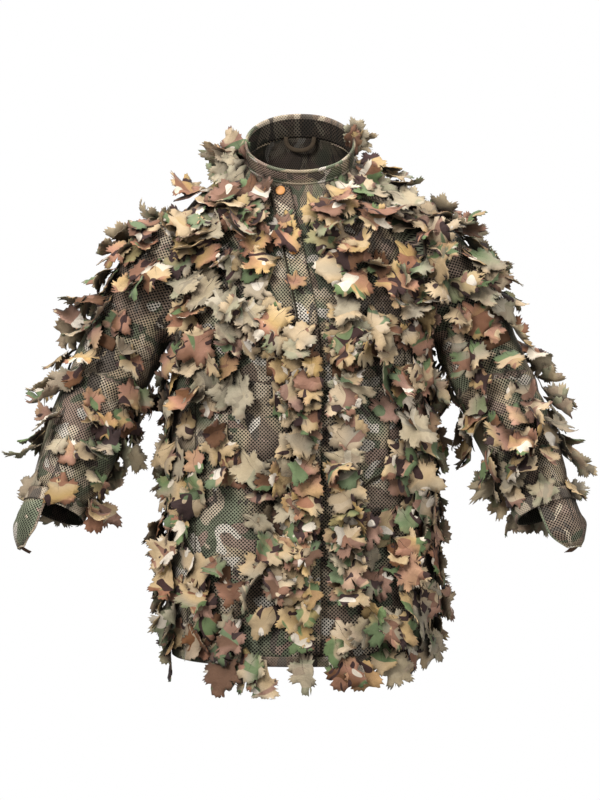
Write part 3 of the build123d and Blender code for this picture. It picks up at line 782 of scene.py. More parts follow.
# ------------------------------------------------------------------ leaves
def leaf_outline(rng):
    """Deeply lobed leaf with a jagged edge, about 1 long, sewn at the origin and pointing to +Y."""
    wide = rng.uniform(0.38, 0.56)
    n = int(rng.choice([4, 5, 5, 6, 7]))
    span = rng.uniform(118, 138)
    mids = np.linspace(-span, span, n) + rng.uniform(-15, 15, n)
    gap = 2 * span / (n - 1)
    pol = []
    for i, a in enumerate(mids):
        R = rng.uniform(0.78, 1.04) * (1.10 if abs(a) < 24 else 1.0) * (1 - 0.10 * abs(a) / span)
        w = gap * rng.uniform(0.26, 0.36)
        pol += [(a - w * 1.2, R * rng.uniform(0.62, 0.78)), (a - w * 0.95, R * rng.uniform(0.82, 0.94)), (a - w * 0.6, R * rng.uniform(0.74, 0.84)), (a - w * 0.3, R * rng.uniform(0.92, 1.0)),
                (a - w * 0.05, R * rng.uniform(0.82, 0.92)), (a + w * 0.2, R), (a + w * 0.5, R * rng.uniform(0.78, 0.88)), (a + w * 0.85, R * rng.uniform(0.86, 0.96)), (a + w * 1.2, R * rng.uniform(0.62, 0.78))]
        if i < n - 1:
            pol.append(((a + mids[i + 1]) / 2 + rng.uniform(-3, 3), rng.uniform(0.40, 0.70)))
    pol += [(span + 22, 0.50), (176, 0.98), (184, 0.98), (360 - span - 22, 0.50)]
    pol.sort(key=lambda q: q[0] + (360 if q[0] < -180 else 0))
    pts = []
    for deg, r in pol:
        th = math.radians(deg)
        pts.append((wide * r * math.sin(th), 0.5 + 0.5 * r * math.cos(th)))
    pts = np.array(pts)
    pts[:, 0] += 0.07 * np.sin(3.0 * pts[:, 1] + rng.uniform(0, 6))
    # a fine irregular cut between the larger teeth
    out = []
    for i in range(len(pts)):
        q, r = pts[i], pts[(i + 1) % len(pts)]
        out.append(q)
        d = r - q
        if np.hypot(*d) > 0.085:
            out.append((q + r) / 2 + np.array([-d[1], d[0]]) * rng.uniform(-0.16, 0.16))
    return np.array(out)


def leaf_variant(rng, step=0.115):
    pts = leaf_outline(rng)
    ver = [Vector(p) for p in pts]
    n = len(ver)
    lo, hi = pts.min(0), pts.max(0)
    for gy in np.arange(lo[1] + step / 2, hi[1], step):
        for gx in np.arange(lo[0] + step / 2, hi[0], step):
            q = (gx + rng.uniform(-0.02, 0.02), gy + rng.uniform(-0.02, 0.02))
            # inside, and not close to the edge
            d = pts - q
            if (d ** 2).sum(1).min() < (step * 0.5) ** 2:
                continue
            ver.append(Vector(q))
    v, _, f, _, _, _ = delaunay_2d_cdt(ver, [], [list(range(n))], 1, 1e-5)
    v = np.array([tuple(p) for p in v])
    f = [tuple(t) for t in f]
    return v, np.array(f, int)


VARIANTS = [leaf_variant(RNG) for _ in range(18)]


class LeafPile:
    def __init__(self):
        self.v, self.f, self.uv, self.c, self.n = [], [], [], [], 0

    def add(self, v, f, uv, col):
        self.v.append(v)
        self.f.append(f + self.n)
        self.uv.append(uv)
        self.c.append(np.repeat([col], len(v), 0))
        self.n += len(v)


PILES = {}
COUNT = {"leaf": 0}
BOUND_LO = np.array(CAD_BOX[0]) / MM
BOUND_HI = np.array(CAD_BOX[1]) / MM


def place_leaf(reg, p, n, down, tilt, size, roll=0.0, curl=0.0, cup=0.0, fold=0.0, lift=1.5, shade=None, variant=None, tone=None, twist=0.0, rim=0.0, crush=1.0, plain=False):
    """One leaf sewn at p. tilt and roll in degrees, size and the rest in mm."""
    rng = RNG
    n = unit(n)
    d = down - n * np.dot(down, n)
    if np.linalg.norm(d) < 0.05:
        d = np.array([0, -1.0, 0]) - n * np.dot([0, -1.0, 0], n)
    d = unit(d)
    sv = np.cross(n, d)
    a = math.radians(roll)
    d = d * math.cos(a) + sv * math.sin(a)
    sv = np.cross(n, d)
    v, f = VARIANTS[variant if variant is not None else rng.integers(len(VARIANTS))]
    flip = 1 if rng.random() < 0.5 else -1
    x, y = v[:, 0] * size * flip, v[:, 1] * size
    yn = y / size
    seed = int(rng.integers(1, 9999))
    local = np.stack([x, y, np.full(len(x), seed * 13.7)], 1)
    z = fold * np.abs(x) / (size * 0.4) + cup * (x / (size * 0.45)) ** 2
    rad = np.clip(np.hypot(x / (size * 0.45), (yn - 0.5) / 0.5), 0, 1.2)
    z = z + rim * rad ** 3
    z = z + crush * (4.6 * hash_noise(local / (19, 19, 1), seed) + 2.3 * hash_noise(local / (8.5, 8.5, 1), seed + 5))
    z = z * np.clip(yn * 3.0, 0.15, 1)
    # the blade twists and bends along its length
    tw = np.radians(twist) * np.clip(yn, 0, 1) ** 0.7
    x, z = x * np.cos(tw) - z * np.sin(tw), x * np.sin(tw) + z * np.cos(tw)
    th = math.radians(tilt) + np.radians(curl) * yn
    th_mean = math.radians(tilt) + np.radians(curl) * yn / 2
    yy = y * np.cos(th_mean)
    zz = y * np.sin(th_mean)
    up_y, up_z = -np.sin(th), np.cos(th)
    py, pz = yy + z * up_y, zz + z * up_z
    low = 0.3 + 0.03 * y
    pz = np.where(pz < low, low + (pz - low) * 0.06, pz)
    P = p + n * lift + np.outer(x, sv) + np.outer(py, d) + np.outer(pz, n)
    # leaves pressed back where they would stand too far off the jacket
    hi, lo = BOUND_HI + (30, 16, 24), BOUND_LO - (30, 16, 28)
    over = np.maximum(P - (hi - 9), 0)
    P = np.where(over > 0, hi - 9 * np.exp(-over / 9), P)
    under = np.maximum((lo + 9) - P, 0)
    P = np.where(under > 0, lo + 9 * np.exp(-under / 9), P)
    # a leaf keeps its shape and follows the body that its sewn end is on
    if reg.startswith("shoulder"):
        s_ = SL[reg[9:]]["s"]
        if p[2] < -175 and p[0] * s_ < 226:
            return
        if p[0] * s_ < 217:
            reg = "torso"
    elif reg.startswith("forearm"):
        k_ = SL[reg[8:]]
        if sleeve_coord(p[None], k_)[0][0] < k_["L1"]:
            reg = "shoulder" + reg[7:]
    if reg == "torso" and p[1] < 0 and -752 < p[2] < -14:
        # clear of the closure strip, or wholly on it and moving with it
        px_ = placket_x(P[:, 2])
        off = P[:, 0] - px_
        root_off = p[0] - float(placket_x(p[2]))
        if (np.abs(off) < 17).any() and (P[:, 2] < -14).all():
            if off.mean() > (6 if abs(root_off) <= 20 else 0) or root_off > 20:
                P = P + np.array([max(0.0, 17.5 - off.min()), 0, 0])
            elif root_off >= -20:
                P = P - np.array([max(0.0, off.max() - 22.0), 0, 0])
                reg = "placket_upper" if p[2] > -226 else "placket_lower"
            else:
                P = P - np.array([max(0.0, np.percentile(off, 98) + 18.0), 0, 0])
    col = (rng.random() if tone is None else tone, rng.random() if shade is None else shade, rng.random(), 0.0 if plain else 1.0)
    uv = np.stack([x, y], 1)
    PILES.setdefault(reg, LeafPile()).add(P, f[:, ::-1] if flip > 0 else f, uv, col)
    COUNT["leaf"] += 1


# places where the photographed front shows bare mesh: x, z, half width, half height
BARE = [(8, -170, 56, 46), (-54, -380, 44, 72), (94, -430, 38, 78), (-42, -724, 48, 36), (76, -706, 34, 42), (-108, -560, 26, 42), (136, -112, 26, 26), (-120, -215, 20, 26), (-6, -28, 42, 30), (14, -226, 14, 14)]


def bare(p):
    if p[1] > 0:
        return False
    for x, z, rx, rz in BARE:
        if ((p[0] - x) / rx) ** 2 + ((p[2] - z) / rz) ** 2 < 1:
            return True
    return False


def poisson(radius, rng):
    """Face centres of the cloth at least radius apart, in a fixed random order."""
    order = rng.permutation(len(centers))
    prob = parea[order] / parea.max()
    cell = {}
    got = []
    for i, pr in zip(order, prob):
        c = centers[i]
        key = tuple(np.floor(c / radius).astype(int))
        ok = True
        for dx in (-1, 0, 1):
            for dy in (-1, 0, 1):
                for dz in (-1, 0, 1):
                    for q in cell.get((key[0] + dx, key[1] + dy, key[2] + dz), ()):
                        if ((centers[q] - c) ** 2).sum() < radius * radius:
                            ok = False
                            break
                    if not ok:
                        break
                if not ok:
                    break
            if not ok:
                break
        if ok:
            cell.setdefault(key, []).append(i)
            got.append(i)
    return got


ROOTS = poisson(40.0, RNG)
DOWN = np.array([0.0, 0.0, -1.0])
for i in ROOTS:
    p, n = centers[i].astype(float), pnorm[i]
    reg = REG[i]
    down = DOWN
    if reg != "torso":
        k = SL[reg.split("_")[1]]
        along, rv = sleeve_coord(p[None], k)
        axis = k["d2"] if along[0] > k["L1"] else k["d1"]
        down = unit(axis * 0.55 + DOWN * 0.45)
        if along[0] > k["L1"] + k["L2"] - 18:
            continue
    if p[2] < HEM_Z + 16:
        continue
    if (C0 - p) @ NC < 14 and p[1] < 20:
        continue
    # no leaf roots on the closure itself, other than the ones listed below
    if p[1] < 0 and abs(p[0] - float(placket_x(p[2]))) < 20:
        continue
    sideways = abs(n[0]) * (reg == "torso")
    number = RNG.choice([1, 2, 2, 3])
    base = RNG.uniform(-14, 14)
    spread = RNG.uniform(36, 58)
    for j in range(number):
        roll = base + (j - (number - 1) / 2) * spread + RNG.uniform(-12, 12)
        size = RNG.uniform(54, 82) * (1.0 if reg == "torso" else 0.92)
        a = math.radians(roll)
        along_leaf = DOWN * size * math.cos(a) + np.array([1.0, 0, 0]) * size * math.sin(a)
        if reg == "torso" and any(bare(p + along_leaf * f) for f in (0.2, 0.45, 0.7, 0.95)):
            continue
        if n[2] > 0.45:
            tilt, curl = RNG.uniform(8, 46), RNG.uniform(-40, 30)
        else:
            tilt, curl = RNG.uniform(8, 50), RNG.uniform(-55, 45)
        if reg == "torso" and sideways > 0.6:
            tilt, curl = tilt * 0.55, -abs(curl) * 0.7
        place_leaf(reg, p, n, down, tilt, size, roll=roll, curl=curl, cup=RNG.uniform(-10, 12), fold=RNG.uniform(-10, 10), lift=1.5 + 1.2 * j, twist=RNG.normal(0, 30), rim=RNG.uniform(-8, 10), crush=RNG.uniform(0.8, 1.5), plain=RNG.random() < 0.09)

# leaves sewn along the closure and other clear ones: x, z, size, roll, tilt
HAND = [
    (30, -232, 66, 55, 16), (24, -236, 70, -30, 20), (44, -240, 64, 80, 14),
    (20, -262, 72, -58, 18), (22, -268, 70, 38, 16), (20, -268, 60, 0, 26),
    (20, -318, 74, 44, 14), (18, -320, 78, -40, 14), (20, -352, 66, 14, 22),
    (20, -386, 74, 34, 16), (18, -388, 72, -42, 16), (20, -430, 78, -24, 16),
    (20, -432, 70, 30, 18), (20, -470, 74, -55, 14), (22, -476, 72, 42, 14), (20, -478, 66, 0, 24),
    (20, -520, 70, 38, 18), (18, -524, 72, -34, 16), (20, -560, 70, 20, 18), (18, -566, 66, -50, 16),
    (20, -606, 72, -22, 16), (22, -612, 66, 46, 16), (20, -650, 68, 20, 18), (18, -690, 66, -30, 18), (20, -694, 62, 30, 18),
]
for x, z, size, roll, tilt in HAND:
    h = on_front(x, z)
    if h is None:
        continue
    # sewn to the panel just outside the closure strip
    place_leaf("torso", h[0], h[1], DOWN, tilt, size, roll=-roll, curl=RNG.uniform(-24, 26), cup=RNG.uniform(-6, 8), fold=RNG.uniform(-6, 8), lift=7.5, twist=RNG.normal(0, 16), rim=RNG.uniform(-5, 7))
# more of them, sewn on the strip itself so that they lie over its edge
for j, z in enumerate(np.arange(-262.0, -722.0, -21.0)):
    h = on_front(float(placket_x(z)) + (8, -6, 3)[j % 3], z)
    if h is not None:
        place_leaf("torso", h[0], h[1], DOWN, RNG.uniform(10, 22), RNG.uniform(58, 72), roll=(-34, 4, -12, -52)[j % 4] + RNG.uniform(-7, 7), curl=RNG.uniform(-20, 22), cup=RNG.uniform(-6, 7), fold=RNG.uniform(-5, 7), lift=7.5, twist=RNG.normal(0, 13), rim=RNG.uniform(-5, 6))
# clear single leaves over the front: root and tip on the front view in steps of 1.6 mm, and their colour
CLEAR = [
    (321, 255, 290, 281, "k"), (322, 254, 356, 268, "b"), (320, 256, 298, 232, "s"), (322, 252, 345, 236, "k"), (371, 252, 375, 280, "b"), (390, 244, 412, 276, "k"),
    (430, 238, 448, 266, "p"), (368, 272, 336, 294, "k"), (352, 290, 336, 322, "g"), (368, 274, 400, 298, "p"), (240, 288, 232, 320, "g"), (262, 300, 246, 330, "g"),
    (290, 306, 262, 336, "p"), (322, 316, 340, 345, "s"), (330, 316, 362, 344, "g"), (313, 342, 284, 352, "g"), (313, 344, 338, 360, "c"), (240, 368, 252, 408, "g"),
    (236, 372, 222, 398, "g"), (314, 372, 286, 382, "k"), (316, 372, 330, 404, "k"), (312, 402, 286, 394, "p"), (316, 408, 342, 432, "k"), (324, 380, 358, 394, "c"),
    (313, 430, 284, 448, "k"), (314, 446, 344, 458, "c"), (308, 456, 274, 470, "c"), (400, 318, 424, 350, "p"), (416, 362, 394, 384, "k"), (386, 372, 404, 400, "k"),
    (390, 410, 430, 442, "c"), (402, 454, 374, 470, "k"), (223, 330, 188, 352, "p"), (245, 300, 262, 320, "c"), (205, 270, 190, 300, "g"), (222, 276, 204, 306, "c"),
    (314, 490, 284, 508, "c"), (316, 492, 338, 520, "s"), (312, 520, 290, 548, "k"), (318, 524, 346, 540, "p"), (320, 560, 296, 584, "p"), (322, 562, 344, 590, "k"),
    (372, 600, 352, 632, "c"), (376, 600, 404, 628, "c"), (280, 590, 262, 622, "k"), (246, 612, 228, 640, "p"), (216, 574, 196, 604, "p"), (262, 640, 248, 668, "s"),
    (270, 650, 262, 690, "k"), (330, 640, 342, 680, "b"), (300, 640, 306, 674, "c"), (380, 640, 400, 668, "g"), (352, 646, 366, 676, "k"), (228, 640, 236, 684, "b"),
    (264, 196, 246, 226, "s"), (246, 186, 228, 214, "b"), (254, 206, 236, 236, "k"), (300, 196, 312, 226, "s"), (322, 190, 348, 214, "k"), (344, 186, 372, 204, "k"),
    (330, 200, 318, 228, "b"), (352, 214, 378, 232, "p"), (368, 206, 396, 222, "g"), (224, 222, 200, 246, "k"), (268, 226, 250, 252, "b"), (282, 222, 296, 248, "p"),
    (292, 212, 282, 240, "b"), (384, 196, 404, 222, "g"), (404, 206, 424, 232, "k"), (180, 206, 152, 226, "k"), (192, 196, 176, 224, "k"), (214, 192, 196, 216, "b"),
    (210, 222, 188, 244, "p"), (166, 224, 148, 254, "p"), (190, 232, 178, 262, "s"),
]
LOOK = {"k": (0.52, 0.72, False), "p": (0.16, 0.74, False), "s": (1.30, 0.55, False), "b": (-0.10, 0.34, False), "g": (0.85, 0.62, True), "c": (0.74, 1.12, True)}
for px0, py0, px1, py1, kind in CLEAR:
    x, z = (px0 - 300) * 1.6, (178 - py0) * 1.6
    dx, dz = (px1 - px0) * 1.6, (py0 - py1) * 1.6
    h = on_front(x, z)
    if h is None:
        continue
    tone, shade, plain = LOOK[kind]
    reg = region_of(h[0][None])[0]
    place_leaf(reg, h[0], h[1], DOWN, RNG.uniform(10, 24), min(80.0, max(58.0, math.hypot(dx, dz) * 1.35)), roll=math.degrees(math.atan2(dx, -dz)), curl=RNG.uniform(-34, 8), cup=RNG.uniform(-6, 10), fold=RNG.uniform(-4, 9), lift=9.0, twist=RNG.normal(0, 12), rim=RNG.uniform(-5, 6), crush=RNG.uniform(0.9, 1.4), tone=tone + RNG.uniform(-0.1, 0.1), shade=shade + RNG.uniform(-0.12, 0.12), plain=plain)

# leaves that stand round the collar: position, direction, facing, size and colour
STAND = [
    ((86, -8, 50), (0.10, 0, 1), (0.25, -1, 0.1), 70, "c"), ((84, -10, 48), (-0.16, 0, 1), (0.5, -1, 0.1), 54, "b"), ((92, -4, 40), (0.55, -0.1, 1), (0.1, -1, 0.3), 50, "k"),
    ((-86, -18, 34), (-0.5, -0.1, 1), (-0.2, -1, 0.2), 66, "b"), ((-92, -22, 28), (-0.9, -0.2, 0.5), (-0.1, -1, 0.4), 68, "g"), ((-90, -26, 30), (-0.6, -0.2, -0.2), (-0.1, -1, 0.3), 70, "g"),
    ((-84, -34, 26), (-0.8, -0.2, -0.9), (-0.1, -1, 0.3), 70, "g"), ((-78, -50, 10), (-0.1, -0.3, -1), (-0.3, -1, 0.3), 66, "p"), ((-64, -60, 8), (0.3, -0.3, -1), (-0.2, -1, 0.3), 62, "b"),
    ((-96, -30, 10), (-0.8, -0.2, -0.8), (-0.2, -1, 0.4), 66, "s"), ((92, -30, 20), (0.7, -0.2, -0.5), (0.2, -1, 0.4), 62, "b"), ((84, -44, 12), (0.5, -0.3, -0.9), (0.2, -1, 0.4), 66, "k"),
    ((74, -56, 4), (-0.2, -0.3, -1), (0.2, -1, 0.3), 60, "k"), ((96, -26, 26), (0.9, -0.1, 0.1), (0.2, -1, 0.4), 56, "p"), ((104, -30, 4), (0.8, -0.2, -0.5), (0.2, -1, 0.4), 62, "g"),
    ((60, -64, 0), (0.6, -0.3, -0.7), (0.2, -1, 0.4), 58, "p"),
]
for pos, d_, n_, size, kind in STAND:
    tone, shade, plain = LOOK[kind]
    pos = np.array(pos, float)
    hit = BVH.find_nearest(Vector(pos) * MM)
    root = np.array(hit[0]) / MM * 0.75 + pos * 0.25
    place_leaf("torso", root, unit(n_), unit(d_), RNG.uniform(2, 16), size, roll=0, curl=RNG.uniform(-20, 20), cup=RNG.uniform(-6, 8), fold=RNG.uniform(0, 12), lift=3.0, twist=RNG.normal(0, 18), rim=RNG.uniform(-6, 6), crush=1.2, tone=tone, shade=shade, plain=plain)
# the shoulders' outline: leaves that lie outward over the top of each sleeve
for side, k in SL.items():
    for j in range(10 if side == "right" else 22):
        f = RNG.uniform(0, 1)
        x = (112 + 190 * f) * k["s"]
        top = BVH.ray_cast(Vector((x, RNG.uniform(-62, 40), 200)) * MM, Vector((0, 0, -1)))
        if top[0] is None:
            continue
        pt, nn_ = np.array(top[0]) / MM, np.array(top[1])
        reg = region_of(pt[None])[0]
        place_leaf(reg, pt, nn_, unit((0.9 * k["s"], RNG.uniform(-0.6, 0.3), -0.4)), RNG.uniform(6, 34), RNG.uniform(54, 74), roll=RNG.uniform(-30, 30), curl=RNG.uniform(-50, 10), cup=RNG.uniform(-8, 8), fold=RNG.uniform(-8, 8), lift=2.0, twist=RNG.normal(0, 30), rim=RNG.uniform(-6, 8), crush=1.2, plain=RNG.random() < 0.1)


def leaf_objects(reg, pile):
    V_, F_, U_, C_ = np.concatenate(pile.v), np.concatenate(pile.f), np.concatenate(pile.uv), np.concatenate(pile.c)
    parts = []
    if reg == "torso":
        # one object per side of the body, so that none is too heavy
        fc = V_[F_[:, 0]]
        # the leaf a face belongs to decides, by its first vertex
        ids = np.concatenate([np.full(len(f), i) for i, f in enumerate(pile.f)])
        roots = np.array([v[0] for v in pile.v])
        r = roots[ids]
        groups = {
            "front_left": (r[:, 1] < -30) & (r[:, 0] >= 0) & (r[:, 2] < -96), "front_right": (r[:, 1] < -30) & (r[:, 0] < 0) & (r[:, 2] < -96),
            "yoke": r[:, 2] >= -96,
        }
        rest = ~(groups["front_left"] | groups["front_right"] | groups["yoke"])
        groups["side_left"] = rest & (r[:, 0] > 150)
        groups["side_right"] = rest & (r[:, 0] < -150)
        groups["back"] = rest & (np.abs(r[:, 0]) <= 150)
    else:
        groups = {reg: np.ones(len(F_), bool)}
    for gname, mask in groups.items():
        if not mask.any():
            continue
        F = F_[mask]
        used = np.unique(F)
        remap = np.full(len(V_), -1)
        remap[used] = np.arange(len(used))
        me = bpy.data.meshes.new("leaves_cloth_" + gname)
        me.from_pydata([tuple(v) for v in V_[used] * MM], [], [tuple(t) for t in remap[F]])
        uvl = me.uv_layers.new(name="cloth")
        vi = np.empty(len(me.loops), np.int32)
        me.loops.foreach_get("vertex_index", vi)
        uvl.data.foreach_set("uv", (U_[used][vi] * MM).astype(np.float32).ravel())
        at = me.color_attributes.new(name="leaf", type="FLOAT_COLOR", domain="POINT")
        at.data.foreach_set("color", C_[used].astype(np.float32).ravel())
        for p in me.polygons:
            p.use_smooth = True
        me.materials.append(M_LEAF)
        me.materials.append(M_LEAF_BACK)
        o = bpy.data.objects.new("leaves_cloth_" + gname, me)
        bpy.context.scene.collection.objects.link(o)
        sd = o.modifiers.new("cloth", "SOLIDIFY")
        sd.thickness = 0.0007
        sd.offset = 0
        sd.material_offset = 1
        sd.material_offset_rim = 0
        apply_all(o)
        parts.append((gname, o))
    return parts


REPL = {
    "front_left": ["leaves_front_left"], "front_right": ["leaves_front_right"], "back": ["leaves_back"], "yoke": ["leaves_yoke"],
    "side_left": ["leaves_side_left"], "side_right": ["leaves_side_right"],
    "shoulder_left": ["leaves_upper_sleeve_left"], "shoulder_right": ["leaves_upper_sleeve_right"],
    "forearm_left": ["leaves_forearm_left"], "forearm_right": ["leaves_forearm_right"],
}
for reg, pile in PILES.items():
    if reg.startswith("placket"):
        continue
    for gname, o in leaf_objects(reg, pile):
        if reg == "torso":
            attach(o, "torso")
        elif reg.startswith("shoulder"):
            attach(o, f"upper_sleeve_{reg[9:]}_body")
        else:
            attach(o, reg + "_body")
        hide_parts(*REPL[gname])

# ------------------------------------------------------------------ bands, tapes and strips that follow the cloth


def strip_object(name, left, right, normals_, thick, mat, body, uscale=None, crown=0.0, across=5, under=0.0):
    """A band between two edge lines, thickened outward along the given normals."""
    left, right, nn = np.asarray(left, float), np.asarray(right, float), np.asarray(normals_, float)
    m = len(left)
    top, bot = [], []
    w = np.linalg.norm(right - left, axis=1)
    us = np.linspace(0, 1, across)
    for u in us:
        base = left * (1 - u) + right * u
        e = 1 - (abs(2 * u - 1)) ** 6
        top.append(base + nn * (thick * (0.35 + 0.65 * e) + crown * (1 - (2 * u - 1) ** 2)))
        bot.append(base - nn * under)
    ring = np.array(top + bot[::-1])          # (2*across, m, 3)
    rings = ring.transpose(1, 0, 2)
    o = grid_object(name, rings, closed_u=True, caps=True)
    p = coords(o.data) / MM
    along = np.concatenate([[0], np.cumsum(np.linalg.norm(np.diff((left + right) / 2, axis=0), axis=1))])
    U = np.tile(np.concatenate([us, us[::-1]]), m) * np.repeat(w, 2 * across)
    Vv = np.repeat(along, 2 * across)
    write_uv(o.data, p, U + 11.0, Vv + 5.0)
    o.data.materials.append(mat)
    if body:
        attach(o, body)
    return o


def project(pts, off, back=False):
    """Points (x, z) in mm laid on the cloth at a standoff, with their normals."""
    P, N = [], []
    for x, z in pts:
        h = on_front(x, z, back)
        if h is None:
            h = (np.array([x, -100.0, z]), np.array([0, -1.0, 0]))
        P.append(h[0] + h[1] * off)
        N.append(h[1])
    return np.array(P), np.array(N)


def smooth_rows(a, it=2):
    a = np.array(a, float)
    for _ in range(it):
        b = a.copy()
        b[1:-1] = (a[:-2] + 2 * a[1:-1] + a[2:]) / 4
        a = b
    return a


def tape(name, quad, off, thick, mat, body="torso", n=14, crown=0.4):
    """Tape over the front: quad is its four corners (x, z): two along its left edge's ends, then the right edge's."""
    (a, b, c, d) = [np.array(q, float) for q in quad]
    left = [a + (d - a) * t for t in np.linspace(0, 1, n)]
    right = [b + (c - b) * t for t in np.linspace(0, 1, n)]
    L, NL = project(left, off)
    R, NR = project(right, off)
    N = smooth_rows((NL + NR) / 2, 3)
    N = N / np.linalg.norm(N, axis=1)[:, None]
    return strip_object(name, smooth_rows(L, 2), smooth_rows(R, 2), N, thick, mat, body, crown=crown)


def seam_line(name, pts, width, off, thick, mat, body="torso", n=40):
    """Narrow raised seam along a line of (x, z) points."""
    pts = np.array(pts, float)
    seg = np.concatenate([[0], np.cumsum(np.linalg.norm(np.diff(pts, axis=0), axis=1))])
    t = np.linspace(0, seg[-1], n)
    line = np.stack([np.interp(t, seg, pts[:, 0]), np.interp(t, seg, pts[:, 1])], 1)
    P, N = project(line, off)
    P, N = smooth_rows(P, 2), smooth_rows(N, 3)
    N = N / np.linalg.norm(N, axis=1)[:, None]
    T = np.gradient(P, axis=0)
    T = T / np.linalg.norm(T, axis=1)[:, None]
    S = np.cross(N, T)
    return strip_object(name, P - S * width / 2, P + S * width / 2, N, thick, mat, body, crown=thick * 0.3, across=5)


# front closure
for tag, z0, z1, body in (("upper", -17, -236, "placket_upper_body"), ("lower", -240, HEM_Z + 18, "placket_lower_body")):
    zz = np.linspace(z0, z1, 60 if tag == "upper" else 110)
    px = placket_x(zz)
    base, N = project(np.stack([px, zz], 1), 0)
    L, _ = project(np.stack([px - 16, zz], 1), 0)
    R, _ = project(np.stack([px + 16, zz], 1), 0)
    N = smooth_rows(N, 6)
    N = N / np.linalg.norm(N, axis=1)[:, None]
    L, R = smooth_rows(L, 4), smooth_rows(R, 4)
    # outer strip, on the moving body
    wav = (0.5 * np.sin(zz / 13.0) + 0.35 * np.sin(zz / 5.1))[:, None]
    o = strip_object(f"closure_outer_{tag}", L + N * (4.2 + 0.2 * wav), R + N * 4.2, N, 1.3, M_MESH, body, across=9, crown=0.25)
    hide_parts(f"placket_{tag}")
    S = (R - L) / np.linalg.norm(R - L, axis=1)[:, None]
    # turned edge with its dark stitching
    e = strip_object(f"closure_edge_{tag}", L + N * 4.1 - S * 0.9, L + N * 4.1 + S * 2.2, N, 1.9, M_SEAM, body, across=5, crown=0.3)
    st = strip_object(f"closure_stitch_{tag}", L + N * 5.6 + S * 6.2, L + N * 5.6 + S * 7.0, N, 0.35, M_SEAM, body, across=3)
    # under strip and the fold beside it
    u = strip_object(f"closure_under_{tag}", L - S * 2 + N * 0.2, R + S * 1 + N * 0.2, N, 0.9, M_EDGE, "torso", across=7)
    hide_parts(f"under_placket_{tag}")
    w = strip_object(f"closure_fold_{tag}", R - S * 5 + N * 1.2, R + S * 0.6 + N * 1.2, N, 2.8, M_MESH, "torso", across=5)
    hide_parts(f"placket_fold_{tag}")

# leaves on the closure ride with it
for key in [q for q in PILES if not q.startswith("placket")]:
    del PILES[key]
for z, size, roll, body in ((-56, 40, 14, "placket_upper"), (-152, 44, -10, "placket_upper"), (-334, 46, 12, "placket_lower"), (-429, 44, -14, "placket_lower"), (-524, 46, 10, "placket_lower"), (-619, 44, -10, "placket_lower")):
    h = on_front(float(placket_x(z)) - 2, z)
    place_leaf(body, h[0], h[1], DOWN, 12, size, roll=roll, curl=8, cup=2, fold=2, lift=7.0)
for body, pile in PILES.items():
    me_parts = leaf_objects(body, pile)
    for gname, o in me_parts:
        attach(o, body + "_body")
        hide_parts("leaves_placket_" + body.split("_")[1])

# tapes and loops
t1 = tape("chest_tape_a", [(-52, -287), (-52, -313), (-10, -318), (-10, -292)], 1.2, 1.5, M_BROWN)
t2 = tape("chest_tape_b", [(50, -290), (50, -316), (96, -318), (96, -292)], 1.2, 1.5, M_BROWN)
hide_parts("chest_tapes")
l1 = tape("foliage_loop_a", [(-42, -130), (-34, -128), (-58, -196), (-66, -193)], 0.8, 1.2, M_TAN)
l2 = tape("foliage_loop_b", [(40, -126), (49, -129), (72, -196), (62, -193)], 0.8, 1.2, M_TAN)
l3 = tape("foliage_loop_c", [(120, -560), (142, -556), (142, -580), (120, -584)], 0.8, 1.2, M_TAN)
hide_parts("foliage_loops_tan")
b1 = tape("foliage_loop_d", [(-82, -224), (-71, -222), (-80, -266), (-91, -264)], 0.8, 1.2, M_BROWN)
b2 = tape("foliage_loop_e", [(97, -222), (108, -224), (114, -262), (103, -264)], 0.8, 1.2, M_BROWN)
b3 = tape("foliage_loop_f", [(-126, -610), (-108, -612), (-108, -650), (-126, -648)], 0.8, 1.2, M_BROWN)
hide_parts("foliage_loops_brown")


# pocket panels: cloth laid over the front, with a turned edge
def pocket(name, poly, node):
    (x0, z0), (x1, z1) = poly["top"]
    n = 30
    left, right = [], []
    zl = np.linspace(0, 1, n)
    L = [np.array(poly["left"][0]) * (1 - t) + np.array(poly["left"][1]) * t for t in zl]
    R = [np.array(poly["right"][0]) * (1 - t) + np.array(poly["right"][1]) * t for t in zl]
    grid = []
    for a, b in zip(L, R):
        row = [a * (1 - u) + b * u for u in np.linspace(0, 1, 22)]
        grid.append(row)
    P, N = project([q for row in grid for q in row], 0)
    P = P + N * (1.2 + 1.2 * hash_noise(P / 26.0, 17)[:, None] ** 2)
    rings = P.reshape(n, 22, 3)
    o = grid_object(name, rings, closed_u=False)
    u, v, per = cloth_uv(P)
    write_uv(o.data, P, u + 40, v + 33, per)
    o.data.materials.append(M_MESH)
    sd = o.modifiers.new("cloth", "SOLIDIFY")
    sd.thickness = 0.0011
    sd.offset = -1
    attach(o, "torso")
    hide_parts(node)
    return o


pocket("pocket_cloth_right", {"top": ((-112, -312), (-24, -330)), "left": ((-112, -314), (-112, -470)), "right": ((-26, -332), (-26, -520))}, "pocket_panel_right")
pocket("pocket_cloth_left", {"top": ((140, -330), (56, -330)), "left": ((58, -332), (58, -520)), "right": ((140, -332), (140, -462))}, "pocket_panel_left")
w1 = seam_line("pocket_welt_a", [(-122, -297), (-60, -275)], 6, 0.6, 2.0, M_SEAM)
w2 = seam_line("pocket_welt_b", [(100, -273), (146, -307)], 6, 0.6, 2.0, M_SEAM)
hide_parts("pocket_welts")
seam_line("pocket_edge_a", [(-112, -470), (-78, -484), (-26, -528)], 3.2, 1.6, 1.4, M_SEAM)
seam_line("pocket_edge_b", [(140, -462), (112, -476), (56, -528)], 3.2, 1.6, 1.4, M_SEAM)
seam_line("skirt_seam_a", [(-148, -702), (-142, -660), (-120, -622)], 3.0, 0.4, 1.2, M_SEAM)
